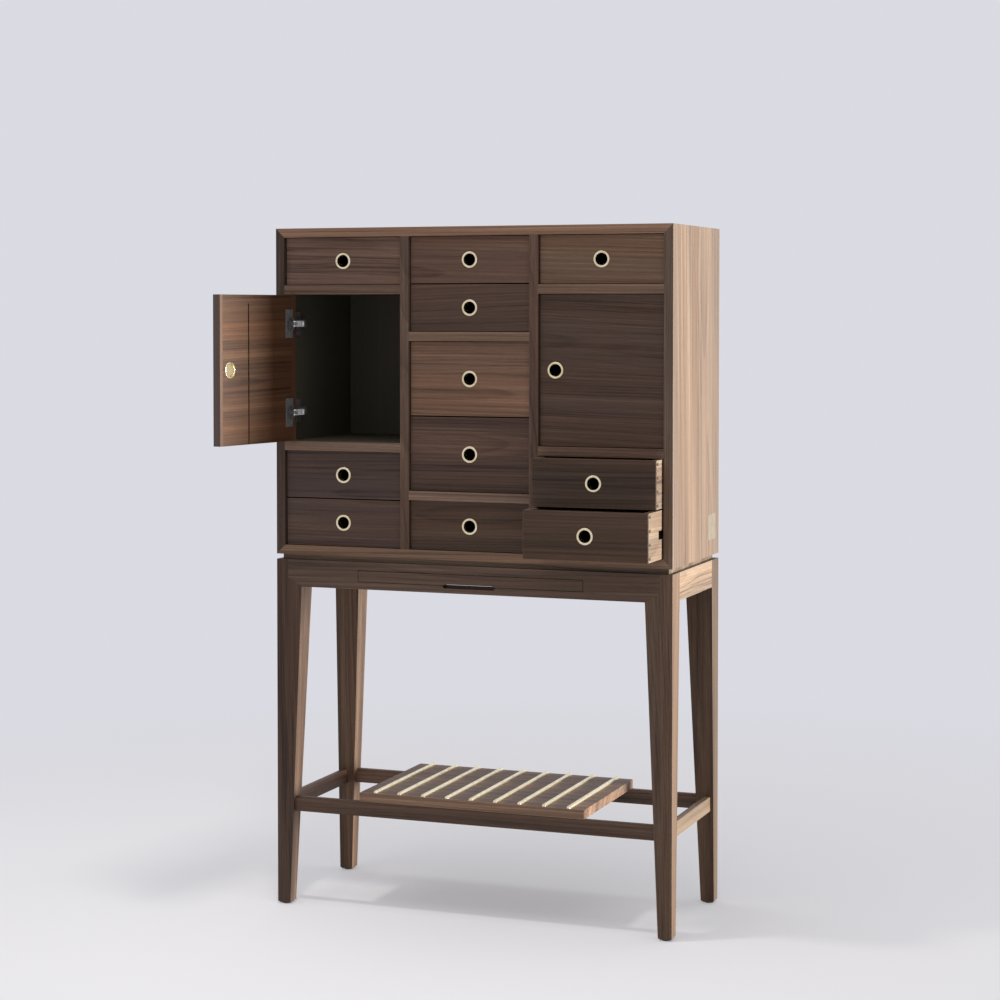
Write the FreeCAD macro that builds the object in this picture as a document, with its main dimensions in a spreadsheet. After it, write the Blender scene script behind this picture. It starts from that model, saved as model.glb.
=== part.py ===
import FreeCAD, Part
import os
import re
import Sketcher

# Cabinet on stand: a mitred case with three columns of drawers and doors, on a tall stand with
# tapered legs, a shallow drawer in its front apron and a tray between its stretchers.
# Frame: X to the right, Y to the back, Z up. The origin is on the floor, under the middle of
# the stand's footprint. Sizes are in millimetres and angles in degrees.

doc = FreeCAD.newDocument("CabinetOnStand")
sheet = doc.addObject("Spreadsheet::Sheet", "Sizes")

SIZES = (
    # The case and its inner boards.
    ("case_width", 911, "outside width of case and stand"),
    ("case_depth", 363, "outside depth of case and stand"),
    ("case_height", 718.5, "height of the case itself"),
    ("board", 20, "case boards, dividers and shelves"),
    ("back_board", 9, "back panel"),
    ("back_rebate", 8, "how far the back panel reaches into the case boards"),
    ("plinth_height", 11.5, "shadow gap between stand and case"),
    ("plinth_recess", 11, "plinth set back from the case faces"),
    ("plinth_width", 40, "width of the plinth frame's members"),
    # Fronts, which lie in their openings.
    ("front_recess", 8, "fronts set back from the case front"),
    ("front_board", 18, "drawer fronts and doors"),
    ("front_gap", 2.5, "clearance at each end of a front"),
    ("split_gap", 1.5, "clearance over and under a front"),
    ("side_drawer", 105, "opening height of a drawer in a side column"),
    ("centre_top_drawer", 103, "opening height of each of the two upper centre drawers"),
    ("centre_low_drawer", 107.5, "opening height of the lowest centre drawer"),
    # Drawer boxes.
    ("drawer_side", 13, "drawer sides and backs"),
    ("drawer_clear", 10, "room behind a closed drawer"),
    ("drawer_bottom", 6, "drawer bottom panel"),
    ("bottom_raise", 8, "height of the bottom panel above the sides' lower edge"),
    ("bottom_sink", 6, "how far the bottom panel sits in its grooves"),
    ("back_drop", 10, "drawer back kept below the sides' upper edge"),
    ("dovetail_lap", 5, "wood left in front of the tails"),
    ("pin_margin", 8, "middle of the outer pins from the edges"),
    ("pin_spacing", 27, "wished distance between pins"),
    ("pin_narrow", 4, "pin at the lap"),
    ("pin_wide", 8.5, "pin at the front's inner face"),
    # Drawer runners.
    ("runner_height", 18, "side runner"),
    ("runner_sink", 7.5, "depth of the groove in the drawer side"),
    ("runner_stop", 75, "groove starts this far behind the front face"),
    ("runner_gap", 0.3, "clearance round a runner"),
    # Finger rings.
    ("ring_radius", 17.8, "outer edge of the ring's flange"),
    ("ring_hole", 13.2, "radius of the finger hole"),
    ("ring_wall", 1.6, "wall of the ring's sleeve"),
    ("ring_flange", 1.8, "thickness of the flange"),
    ("ring_gap", 0.15, "clearance of the sleeve in its hole"),
    ("door_ring_inset", 34, "middle of a door's ring from its free edge"),
    # Doors and their concealed hinges.
    ("hinge_lip", 16, "lipping on a door's hinge edge"),
    ("free_lip", 9, "lipping on a door's free edge"),
    ("kerf_place", 100, "middle of the kerf from the free edge"),
    ("kerf_width", 4, "kerf in the door's inner face"),
    ("kerf_depth", 4, "depth of the kerf"),
    ("kerf_stop", 19, "kerf stops this far below the door's top"),
    ("axis_inset", 3.5, "hinge axis from the case side's inner face"),
    ("hinge_inset", 63, "middle of a hinge from the door's end"),
    ("cup_radius", 17.5, "hinge cup"),
    ("cup_depth", 11, "depth of the cup in the door"),
    ("cup_wall", 1.5, "wall of the cup"),
    ("cup_edge", 2.5, "wood between the cup and the door's edge"),
    ("cup_gap", 0.15, "clearance of the cup in its hole"),
    ("flange_length", 62.5, "hinge flange, up and down"),
    ("flange_near", 13, "flange's near edge from the door's edge"),
    ("flange_far", 38, "flange's far edge from the door's edge"),
    ("flange_sheet", 1.5, "thickness of the flange"),
    ("pivot_pin", 1.5, "radius of the hinge's pins"),
    ("pivot_gap", 0.05, "clearance of a pin in its hole"),
    ("elbow_gap", 0.3, "clearance of the pin where arm and link meet"),
    ("pivot_eye", 3, "metal round a pin's middle, half the width of arm and link"),
    ("post_half", 2.6, "half width of the post that carries the door's pivot"),
    ("door_pivot_in", 15, "door's pivot from the door's edge"),
    ("door_pivot_rise", 7, "door's pivot behind the door's inner face"),
    ("case_pivot_out", 9.5, "case's pivot from the case side's inner face"),
    ("case_pivot_rise", 4, "case's pivot behind the closed door's inner face"),
    ("arm_thick", 7, "height of the swinging arm"),
    ("link_sheet", 2.5, "each flange of the folded link"),
    ("link_web", 1.2, "web that joins the link's flanges"),
    ("web_end", 9, "web kept away from the link's pins"),
    ("layer_gap", 0.3, "clearance between the hinge's layers"),
    ("mount_width", 17.5, "case arm, up and down"),
    ("mount_nose", 3.5, "nose of the case arm round its pin"),
    ("mount_slot", 20, "slot in the nose, behind the pivot"),
    ("mount_length", 58, "case arm behind the pivot"),
    ("plate_back", 22, "mounting plate behind the pivot"),
    ("plate_length", 26, "mounting plate, front to back"),
    ("plate_span", 52, "mounting plate, up and down"),
    ("plate_sheet", 2.5, "thickness of the mounting plate"),
    # How the doors and drawers stand at rest.
    ("left_door_open", 100, "left door, in degrees from closed"),
    ("right_door_open", 0, "right door, in degrees from closed"),
    ("upper_out", 54, "upper right drawer, pulled out"),
    ("lower_out", 109, "lower right drawer, pulled out"),
    # Stand: legs and aprons.
    ("stand_height", 770, "floor to the top of the stand"),
    ("leg_wide", 60, "leg at the aprons, seen from the front"),
    ("leg_deep", 54, "leg at the aprons, seen from the side"),
    ("foot_size", 30, "leg at the floor, both ways"),
    ("foot_chamfer", 4, "chamfer round the foot"),
    ("glide_radius", 10, "glide under the foot"),
    ("glide_height", 2, "glide's thickness"),
    ("apron_height", 60, "aprons"),
    ("apron_board", 22, "thickness of the aprons"),
    ("leg_stile", 27, "leg left beside the apron's lap"),
    ("lap_height", 40, "upright part of the lap, from the top"),
    # Drawer in the front apron.
    ("slim_width", 519, "opening for the slim drawer"),
    ("top_strip", 18.5, "apron over the opening"),
    ("bottom_strip", 16, "apron under the opening"),
    ("slim_gap", 1, "clearance round the slim drawer's front"),
    ("slim_side", 10, "slim drawer's sides and back"),
    ("slim_sides_drop", 3, "slim drawer's box kept under the front's upper edge"),
    ("slim_bottom", 4, "slim drawer's bottom"),
    ("slim_clear", 51, "room between the closed slim drawer and the back apron"),
    ("pull_width", 124, "finger slot"),
    ("pull_rise", 3, "slot in the slim drawer's front"),
    ("pull_drop", 5.5, "slot in the apron's lower strip"),
    ("pull_slope", 5, "slope at the slot's ends"),
    ("pull_depth", 14, "how far the slot reaches into the apron"),
    ("ledge_width", 22, "guide's ledge under the slim drawer"),
    ("ledge_height", 10, "thickness of the guide's ledge"),
    ("guide_wall", 12, "guide's upright beside the slim drawer"),
    ("guide_gap", 0.3, "clearance between slim drawer and guides"),
    # Stretchers, tray and its bars.
    ("stretcher_bottom", 209, "floor to the stretchers"),
    ("stretcher_height", 32, "stretchers"),
    ("stretcher_board", 16, "thickness of the stretchers"),
    ("stretcher_inset", 7, "stretchers set back from the legs' outer faces"),
    ("stretcher_round", 3, "rounding of the stretchers' upper edges"),
    ("tray_width", 520, "tray board, side to side"),
    ("tray_board", 20, "thickness of the tray board"),
    ("bar_count", 9, "bars on the tray"),
    ("bar_pitch", 55.9, "distance between bars"),
    ("bar_width", 8, "width of a bar"),
    ("bar_side", 2, "straight side of a bar"),
    ("bar_setback", 4, "bars kept inside the tray's edges"),
)
for row, (alias, size, meaning) in enumerate(SIZES, start=1):
    sheet.set(f"A{row}", alias)
    sheet.set(f"B{row}", str(size))
    sheet.setAlias(f"B{row}", alias)
    sheet.set(f"C{row}", meaning)
doc.recompute()

ALIASES = {alias for alias, size, meaning in SIZES}

# Places that follow from the sizes, as expressions of the sheet's words.
LEFT = "(-case_width / 2)"
FRONT = "(-case_depth / 2)"
CASE_BOTTOM = "(stand_height + plinth_height)"
FLOOR = f"({CASE_BOTTOM} + board)"
COLUMN = "((case_width - 4 * board) / 3)"
INSIDE_DEPTH = "(case_depth - back_board)"
FRONT_WIDTH = f"({COLUMN} - 2 * front_gap)"
COMPARTMENT = "(case_height - 4 * board - 3 * side_drawer)"
CENTRE_TALL = "((case_height - 4 * board - 2 * centre_top_drawer - centre_low_drawer) / 2)"
DOOR_HEIGHT = f"({COMPARTMENT} - 2 * split_gap)"
DRAWER_LENGTH = "(case_depth - back_board - front_recess - drawer_clear)"
APRON_BOTTOM = "(stand_height - apron_height)"
SLIM_HEIGHT = "(apron_height - top_strip - bottom_strip)"
SLIM_LEFT = "(case_width / 2 - slim_width / 2)"
SLIM_LENGTH = "(case_depth - apron_board - slim_clear)"


def cells(text):
    """An expression with the sheet's name in front of each of its words."""
    return re.sub(r"[a-z_]+", lambda word: f"Sizes.{word[0]}" if word[0] in ALIASES else word[0], text)


def bind(thing, **sizes):
    """Tie properties to expressions; a double underscore stands for a dot."""
    for name, text in sizes.items():
        thing.setExpression(name.replace("__", "."), cells(text))
    return thing


def place(thing, x="0", y="0", z="0"):
    """Tie an object's place to three expressions."""
    return bind(thing, Placement__Base__x=x, Placement__Base__y=y, Placement__Base__z=z)


def box(name, size, corner=("0", "0", "0")):
    """Square board from its size and its lower left front corner."""
    solid = doc.addObject("Part::Box", name)
    bind(solid, Length=size[0], Width=size[1], Height=size[2])
    return place(solid, *corner)


def rod(name, radius, length, start, along):
    """Cylinder of a length along a direction."""
    solid = doc.addObject("Part::Cylinder", name)
    turn = FreeCAD.Rotation(FreeCAD.Vector(0, 0, 1), along)
    solid.Placement = FreeCAD.Placement(FreeCAD.Vector(), turn)
    bind(solid, Radius=radius, Height=length)
    return place(solid, *start)


def group(name, solids):
    """Several solids as one object, each still separate."""
    whole = doc.addObject("Part::Compound", name)
    whole.Links = solids
    return whole


def cut(name, solid, *tools):
    """A solid less one or more others."""
    rest = doc.addObject("Part::Cut", name)
    rest.Base = solid
    rest.Tool = tools[0] if len(tools) == 1 else group(name + "_cutters", list(tools))
    return rest


def fuse(name, *solids):
    """Several solids made one."""
    whole = doc.addObject("Part::MultiFuse", name)
    whole.Shapes = list(solids)
    whole.Refine = True
    return whole


def mirror(name, source, across, middle="0"):
    """A mirror image across the X or the Y direction."""
    image = doc.addObject("Part::Mirroring", name)
    image.Source = source
    image.Normal = FreeCAD.Vector(1, 0, 0) if across == "x" else FreeCAD.Vector(0, 1, 0)
    image.setExpression(f"Base.{across}", cells(middle))
    return image


def origin_part(body, role):
    """One of a body's own origin planes or axes."""
    return next(part for part in body.Origin.OriginFeatures if part.Role == role)


def outline(body, name, role, corners):
    """Closed outline on an origin plane, each corner tied to a pair of expressions."""
    sketch = body.newObject("Sketcher::SketchObject", name)
    sketch.AttachmentSupport = (origin_part(body, role), "")
    sketch.MapMode = "FlatFace"
    count = len(corners)
    for line in range(count):
        start = FreeCAD.Vector(1 + line, 1 + line ** 2, 0)
        end = FreeCAD.Vector(2 + line, 1 + (line + 1) ** 2, 0)
        sketch.addGeometry(Part.LineSegment(start, end), False)
    for line, (across, up) in enumerate(corners):
        sketch.addConstraint(Sketcher.Constraint("Coincident", line, 2, (line + 1) % count, 1))
        for kind, text in (("DistanceX", across), ("DistanceY", up)):
            index = sketch.addConstraint(Sketcher.Constraint(kind, -1, 1, line, 1, 1.0))
            sketch.setExpression(f"Constraints[{index}]", cells(text))
    return sketch


def pad(body, name, sketch, length, backwards=False):
    """Material from an outline; backwards is against the plane's normal."""
    feature = body.newObject("PartDesign::Pad", name)
    feature.Profile = sketch
    feature.Reversed = backwards
    return bind(feature, Length=length)


def pocket(body, name, sketch, depth, backwards=False):
    """Material taken away from an outline; the volume has to shrink."""
    doc.recompute()
    before = body.Shape.Volume
    feature = body.newObject("PartDesign::Pocket", name)
    feature.Profile = sketch
    feature.Reversed = backwards
    bind(feature, Length=depth)
    doc.recompute()
    if not body.Shape.Volume < before:
        raise RuntimeError(f"{body.Name}: {name} takes nothing away")
    return feature


def new_body(name):
    return doc.addObject("PartDesign::Body", name)


def edges_where(feature, test):
    """Names of a feature's edges whose ends all pass a test."""
    return [
        f"Edge{number}"
        for number, edge in enumerate(feature.Shape.Edges, start=1)
        if all(test(corner.Point) for corner in edge.Vertexes)
    ]


parts = {}


def keep(label, thing):
    """Name a finished sub-part."""
    thing.Label = label
    parts[label] = thing
    return thing


# ---------------------------------------------------------------- case

def case_board(name, corners):
    """One mitred board of the case, drawn from the front and as deep as the case."""
    body = new_body(name)
    sketch = outline(body, name + "_outline", "XZ_Plane", corners)
    pad(body, name + "_length", sketch, "case_depth", backwards=True)
    return place(body, LEFT, FRONT, CASE_BOTTOM)


def make_case():
    """Mitred top, bottom and sides, rebated for the back panel."""
    inner_width = "case_width - board"
    inner_height = "case_height - board"
    low_left = (("0", "0"), ("board", "board"))
    low_right = (("case_width", "0"), (inner_width, "board"))
    top_left = (("0", "case_height"), ("board", inner_height))
    top_right = (("case_width", "case_height"), (inner_width, inner_height))
    outlines = {
        "case_top": (*top_left, *reversed(top_right)),
        "case_bottom": (*low_right, *reversed(low_left)),
        "case_side_left": (*low_left, *reversed(top_left)),
        "case_side_right": (*top_right, *reversed(low_right)),
    }
    panel = box(
        "back_board",
        (
            "case_width - 2 * board + 2 * back_rebate",
            "back_board",
            "case_height - 2 * board + 2 * back_rebate",
        ),
        (f"{LEFT} + board - back_rebate", f"{FRONT} + {INSIDE_DEPTH}", f"{FLOOR} - back_rebate"),
    )
    keep("back_panel", panel)
    for name, corners in outlines.items():
        keep(name, cut(name + "_rebated", case_board(name + "_board", corners), panel))


def column_left(column):
    """Left end of a column's opening; the columns count from the left, from 0."""
    return f"({LEFT} + board + {column} * ({COLUMN} + board))"


# Openings of each column from the bottom up: what fills each one, and its height.
COLUMNS = (
    (
        ("drawer_left_bottom", "side_drawer"),
        ("drawer_left_middle", "side_drawer"),
        ("shelf", "board"),
        ("door_left", COMPARTMENT),
        ("shelf", "board"),
        ("drawer_left_top", "side_drawer"),
    ),
    (
        ("drawer_centre_bottom", "centre_low_drawer"),
        ("shelf", "board"),
        ("drawer_centre_fourth", CENTRE_TALL),
        ("drawer_centre_third", CENTRE_TALL),
        ("shelf", "board"),
        ("drawer_centre_second", "centre_top_drawer"),
        ("drawer_centre_top", "centre_top_drawer"),
    ),
    (
        ("drawer_right_lower", "side_drawer"),
        ("drawer_right_upper", "side_drawer"),
        ("shelf", "board"),
        ("door_right", COMPARTMENT),
        ("shelf", "board"),
        ("drawer_right_top", "side_drawer"),
    ),
)


def openings():
    """Each opening as its filling, column, lower edge and height."""
    for column, stack in enumerate(COLUMNS):
        bottom = FLOOR
        for filling, height in stack:
            yield filling, column, bottom, height
            bottom = f"({bottom} + {height})"


def make_inner_boards():
    """Dividers between the columns and the shelves across them."""
    for column, name in enumerate(("divider_left", "divider_right")):
        corner = (f"{column_left(column)} + {COLUMN}", FRONT, FLOOR)
        size = ("board", INSIDE_DEPTH, "case_height - 2 * board")
        keep(name, box(name + "_board", size, corner))
    shelves = []
    for filling, column, bottom, height in openings():
        if filling == "shelf":
            corner = (column_left(column), FRONT, bottom)
            shelves.append(box(f"shelf_{len(shelves)}", (COLUMN, INSIDE_DEPTH, height), corner))
    keep("shelves", group("shelf_set", shelves))


def make_plinth():
    """Frame of four members between stand and case, the front and back ones running through."""
    long = ("case_width - 2 * plinth_recess", "plinth_width", "plinth_height")
    short = ("plinth_width", "case_depth - 2 * plinth_recess - 2 * plinth_width", "plinth_height")
    left = f"{LEFT} + plinth_recess"
    right = f"-({left}) - plinth_width"
    front = f"{FRONT} + plinth_recess"
    behind = f"{front} + plinth_width"
    members = [
        box("plinth_front", long, (left, front, "stand_height")),
        box("plinth_back", long, (left, f"-({front}) - plinth_width", "stand_height")),
        box("plinth_left", short, (left, behind, "stand_height")),
        box("plinth_right", short, (right, behind, "stand_height")),
    ]
    keep("plinth", group("plinth_frame", members))


# ---------------------------------------------------------------- finger rings

def make_ring(name, through, back_flange):
    """Turned brass ring: a sleeve with a flange on the front and, in a door, one on the back too.

    The ring's axis lies along Y, and the front face of the wood is at Y = 0.
    """
    body = new_body(name)
    sleeve = "ring_hole + ring_wall"
    end = f"ring_flange + {through}"
    front = [
        (sleeve, "ring_flange"),
        ("ring_radius", "ring_flange"),
        ("ring_radius", "0"),
        ("ring_hole", "0"),
    ]
    back = [("ring_hole", end), (sleeve, end)]
    if back_flange:
        back = [
            ("ring_hole", f"{end} + ring_flange"),
            ("ring_radius", f"{end} + ring_flange"),
            ("ring_radius", end),
            (sleeve, end),
        ]
    sketch = outline(body, name + "_section", "XY_Plane", front + back)
    turned = body.newObject("PartDesign::Revolution", name + "_turned")
    turned.Profile = sketch
    turned.ReferenceAxis = (origin_part(body, "Y_Axis"), [""])
    turned.Angle = 360
    return place(body, "0", "-ring_flange", "0")


# ---------------------------------------------------------------- drawers

def make_drawer_side(name, height):
    """Left side of a drawer, with half-blind tails in front and a stopped runner groove.

    The drawer's lower left front corner is the origin, and its front face is at Y = 0.
    """
    body = new_body(name)
    board = outline(body, name + "_outline", "YZ_Plane", (
        ("dovetail_lap", "0"),
        (DRAWER_LENGTH, "0"),
        (DRAWER_LENGTH, height),
        ("dovetail_lap", height),
    ))
    pad(body, name + "_board", board, "drawer_side")
    socket = outline(body, name + "_socket", "YZ_Plane", (
        ("dovetail_lap", "pin_margin - pin_narrow / 2"),
        ("front_board", "pin_margin - pin_wide / 2"),
        ("front_board", "pin_margin + pin_wide / 2"),
        ("dovetail_lap", "pin_margin + pin_narrow / 2"),
    ))
    socket_cut = pocket(body, name + "_pin", socket, "drawer_side", backwards=True)
    row = body.newObject("PartDesign::LinearPattern", name + "_pins")
    row.Originals = [socket_cut]
    row.Direction = (origin_part(body, "Z_Axis"), [""])
    reach = f"({height} - 2 * pin_margin)"
    bind(row, Length=reach, Occurrences=f"round({reach} / pin_spacing) + 1")
    body.Tip = row
    groove_bottom = f"({height} / 2 - runner_height / 2 - runner_gap)"
    groove_top = f"({height} / 2 + runner_height / 2 + runner_gap)"
    groove = outline(body, name + "_groove_outline", "YZ_Plane", (
        ("runner_stop", groove_bottom),
        (DRAWER_LENGTH, groove_bottom),
        (DRAWER_LENGTH, groove_top),
        ("runner_stop", groove_top),
    ))
    pocket(body, name + "_groove", groove, "runner_sink", backwards=True)
    return body


def make_drawer(name, height):
    """Drawer box of a height: dovetailed front, two sides, back and a bottom panel in grooves."""
    bottom = box(name + "_bottom", (
        f"{FRONT_WIDTH} - 2 * drawer_side + 2 * bottom_sink",
        f"{DRAWER_LENGTH} - front_board + bottom_sink",
        "drawer_bottom",
    ), ("drawer_side - bottom_sink", "front_board - bottom_sink", "bottom_raise"))
    plain_side = make_drawer_side(name + "_side", height)
    side = cut(name + "_side_left", plain_side, bottom)
    other = mirror(name + "_side_right", side, "x", f"{FRONT_WIDTH} / 2")
    hole = rod(
        name + "_hole",
        "ring_hole + ring_wall + ring_gap",
        "front_board",
        (f"{FRONT_WIDTH} / 2", "0", f"{height} / 2"),
        FreeCAD.Vector(0, 1, 0),
    )
    board = box(name + "_front_board", (FRONT_WIDTH, "front_board", height))
    front = cut(name + "_front", board, side, other, bottom, hole)
    back = box(name + "_back", (
        f"{FRONT_WIDTH} - 2 * drawer_side",
        "drawer_side",
        f"{height} - bottom_raise - drawer_bottom - back_drop",
    ), ("drawer_side", f"{DRAWER_LENGTH} - drawer_side", "bottom_raise + drawer_bottom"))
    return [front, side, other, back, bottom]


PULLED_OUT = {"drawer_right_upper": "upper_out", "drawer_right_lower": "lower_out"}


def make_drawers(ring):
    """All drawers of the case with their rings, and the runners that carry them."""
    kits = {}
    runners = []
    for filling, column, bottom, height in openings():
        if not filling.startswith("drawer"):
            continue
        front_height = f"({height} - 2 * split_gap)"
        if height not in kits:
            kits[height] = make_drawer(f"drawer_kit_{len(kits)}", front_height)
        out = PULLED_OUT.get(filling, "0")
        left = f"{column_left(column)} + front_gap"
        front = f"{FRONT} + front_recess - {out}"
        low = f"{bottom} + split_gap"
        keep(filling, place(group(filling + "_box", kits[height]), left, front, low))
        middle = (f"{left} + {FRONT_WIDTH} / 2", front, f"{low} + {front_height} / 2")
        keep(f"ring_{filling}", place(group(filling + "_ring", [ring]), *middle))

        reach = "(runner_sink + front_gap - runner_gap)"
        start = "(front_recess + runner_stop + runner_gap)"
        size = (reach, f"{INSIDE_DEPTH} - {start}", "runner_height")
        lower = f"{middle[2]} - runner_height / 2"
        near = column_left(column)
        for side, across in (("left", near), ("right", f"{near} + {COLUMN} - {reach}")):
            runners.append(box(f"runner_{filling}_{side}", size, (across, f"{FRONT} + {start}", lower)))
    keep("drawer_runners", group("runner_strips", runners))


# ---------------------------------------------------------------- doors

HINGE_UP = FreeCAD.Vector(0, 0, 1)
INTO_DOOR = FreeCAD.Vector(0, -1, 0)
# The hinge's plan, from the axis that the door turns about: X into the opening, Y to the back.
# Each hinge is a parallelogram. The swinging arm turns with the door, and the link stays parallel
# to the line from the axis to the case's pivot, so the axis itself needs no pin.
DOOR_EDGE = "(front_gap - axis_inset)"
DOOR_INNER = "(front_recess + front_board)"
DOOR_PIVOT = (f"({DOOR_EDGE} + door_pivot_in)", f"({DOOR_INNER} + door_pivot_rise)")
CASE_PIVOT = ("(case_pivot_out - axis_inset)", f"({DOOR_INNER} + case_pivot_rise)")
LINK_RISE = "(arm_thick / 2 + layer_gap + link_sheet)"
# The ends round a pin are half octagons: a flat of this share of the end's half width each way.
CORNER = "tan(22.5)"


def upright_rod(name, radius, height, x="0", y="0"):
    """Cylinder along Z, centred on the hinge's middle height."""
    return rod(name, radius, height, (x, y, f"-{height} / 2"), HINGE_UP)


def bar_with_eyes(name, reach, height):
    """Flat bar along X with cornered ends, from the origin to its reach."""
    body = new_body(name + "_blank")
    flat = f"pivot_eye * {CORNER}"
    plan = outline(body, name + "_plan", "XY_Plane", (
        ("-pivot_eye", f"-{flat}"),
        (f"-{flat}", "-pivot_eye"),
        (f"{reach} + {flat}", "-pivot_eye"),
        (f"{reach} + pivot_eye", f"-{flat}"),
        (f"{reach} + pivot_eye", flat),
        (f"{reach} + {flat}", "pivot_eye"),
        (f"-{flat}", "pivot_eye"),
        ("-pivot_eye", flat),
    ))
    pad(body, name + "_bar", plan, height)
    return place(body, "0", "0", f"-{height} / 2")


def aim(name, solid, target):
    """A solid drawn along X, turned to point at a place of the plan."""
    aimed = group(name, [solid])
    aimed.Placement = FreeCAD.Placement(FreeCAD.Vector(), FreeCAD.Rotation(HINGE_UP, 90))
    return bind(aimed, Placement__Rotation__Angle=f"atan2({target[1]}; {target[0]})")


def swing(name, solids, place_in_plan, angle):
    """Solids turned about an upright axis through their origin, as the left door opens."""
    turned = group(name, solids)
    clockwise = FreeCAD.Rotation(FreeCAD.Vector(0, 0, -1), 90)
    turned.Placement = FreeCAD.Placement(FreeCAD.Vector(), clockwise)
    bind(turned, Placement__Rotation__Angle=angle)
    return place(turned, *place_in_plan)


def make_hinge_cup():
    """Door half of a concealed hinge: cup, screw flange, and a post that carries the pivot.

    X runs from the door's hinge edge, Y from its inner face into the case, and Z from the middle.
    """
    middle = "cup_edge + cup_radius"
    cup = rod("hinge_cup_wall", "cup_radius", "cup_depth", (middle, "0", "0"), INTO_DOOR)
    hollow = rod(
        "hinge_cup_hollow",
        "cup_radius - cup_wall",
        "cup_depth - cup_wall + flange_sheet",
        (middle, "flange_sheet", "0"),
        INTO_DOOR,
    )
    flange = box(
        "hinge_flange",
        ("flange_far - flange_near", "flange_sheet", "flange_length"),
        ("flange_near", "0", "-flange_length / 2"),
    )
    shell = cut("hinge_cup_shell", fuse("hinge_cup_and_flange", cup, flange), hollow)
    post = new_body("hinge_post")
    foot = "-(cup_depth - cup_wall)"
    flat = f"post_half * {CORNER}"
    plan = outline(post, "hinge_post_plan", "XY_Plane", (
        ("door_pivot_in - post_half", foot),
        ("door_pivot_in + post_half", foot),
        ("door_pivot_in + post_half", f"door_pivot_rise + {flat}"),
        (f"door_pivot_in + {flat}", "door_pivot_rise + post_half"),
        (f"door_pivot_in - {flat}", "door_pivot_rise + post_half"),
        ("door_pivot_in - post_half", f"door_pivot_rise + {flat}"),
    ))
    pad(post, "hinge_post_block", plan, "arm_thick")
    place(post, "0", "0", "-arm_thick / 2")
    pin = upright_rod("hinge_post_pin", "pivot_pin", f"(2 * {LINK_RISE})", "door_pivot_in", "door_pivot_rise")
    return fuse("hinge_cup", shell, post, pin)


def make_hinge_arm():
    """Swinging arm, as long as the way from the axis to the door's pivot, with a pin at its far end."""
    reach = f"sqrt({DOOR_PIVOT[0]}^2 + {DOOR_PIVOT[1]}^2)"
    bar = bar_with_eyes("hinge_arm", reach, "arm_thick")
    hole = upright_rod("hinge_arm_hole", "pivot_pin + pivot_gap", "arm_thick")
    pin = upright_rod("hinge_arm_pin", "pivot_pin", f"(2 * {LINK_RISE})", reach)
    arm = fuse("hinge_arm_with_pin", cut("hinge_arm_bored", bar, hole), pin)
    return aim("hinge_arm_aimed", arm, DOOR_PIVOT)


def make_hinge_link():
    """Folded link: two flanges round the arm and the post, joined by a web on the inner side."""
    reach = f"sqrt({CASE_PIVOT[0]}^2 + {CASE_PIVOT[1]}^2)"
    height = f"(2 * {LINK_RISE})"
    inside = "(arm_thick + 2 * layer_gap)"
    bar = bar_with_eyes("hinge_link", reach, height)
    room = box(
        "hinge_link_room",
        (f"{reach} + 2 * pivot_eye", "2 * pivot_eye - link_web", inside),
        ("-pivot_eye", "-pivot_eye + link_web", f"-{inside} / 2"),
    )
    window = ("web_end + pivot_eye", "2 * pivot_eye", inside)
    near_window = box("hinge_link_near_window", window, ("-pivot_eye", "-pivot_eye", f"-{inside} / 2"))
    far_window = box(
        "hinge_link_far_window",
        window,
        (f"{reach} - web_end", "-pivot_eye", f"-{inside} / 2"),
    )
    near_hole = upright_rod("hinge_link_near_hole", "pivot_pin + pivot_gap", height)
    far_hole = upright_rod("hinge_link_far_hole", "pivot_pin + elbow_gap", height, reach)
    link = cut("hinge_link_cut", bar, room, near_window, far_window, near_hole, far_hole)
    return aim("hinge_link_aimed", link, CASE_PIVOT)


def make_hinge_mount():
    """Case half of a concealed hinge: mounting plate and slotted arm on the left case side.

    X runs from the case side's inner face, Y from the pivot to the back, Z from the middle.
    """
    body = new_body("hinge_mount_body")
    flat = f"mount_nose * {CORNER}"
    profile = outline(body, "hinge_mount_profile", "XY_Plane", (
        ("case_pivot_out - mount_nose", "0"),
        ("case_pivot_out - mount_nose", f"-{flat}"),
        (f"case_pivot_out - {flat}", "-mount_nose"),
        (f"case_pivot_out + {flat}", "-mount_nose"),
        ("case_pivot_out + mount_nose", f"-{flat}"),
        ("case_pivot_out + mount_nose", "mount_length - plate_sheet"),
        ("case_pivot_out + mount_nose - plate_sheet", "mount_length"),
        ("0", "mount_length"),
        ("0", "plate_back"),
    ))
    pad(body, "hinge_mount_block", profile, "mount_width")
    place(body, "0", "0", "-mount_width / 2")
    inside = "(arm_thick + 2 * layer_gap)"
    slot = box(
        "hinge_mount_slot",
        ("case_pivot_out + mount_nose", "mount_nose + mount_slot", inside),
        ("0", "-mount_nose", f"-{inside} / 2"),
    )
    plate = box(
        "hinge_plate",
        ("plate_sheet", "plate_length", "plate_span"),
        ("0", "plate_back", "-plate_span / 2"),
    )
    pin = upright_rod("hinge_mount_pin", "pivot_pin", "mount_width", "case_pivot_out")
    fork = cut("hinge_mount_fork", body, slot)
    return fuse("hinge_mount", fork, plate, pin)


def at_heights(name, solid, x, y, heights):
    """Copies of a hinge's piece, one at each hinge's height."""
    return [
        place(group(f"{name}_{number}", [solid]), x, y, height)
        for number, height in enumerate(heights)
    ]


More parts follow.
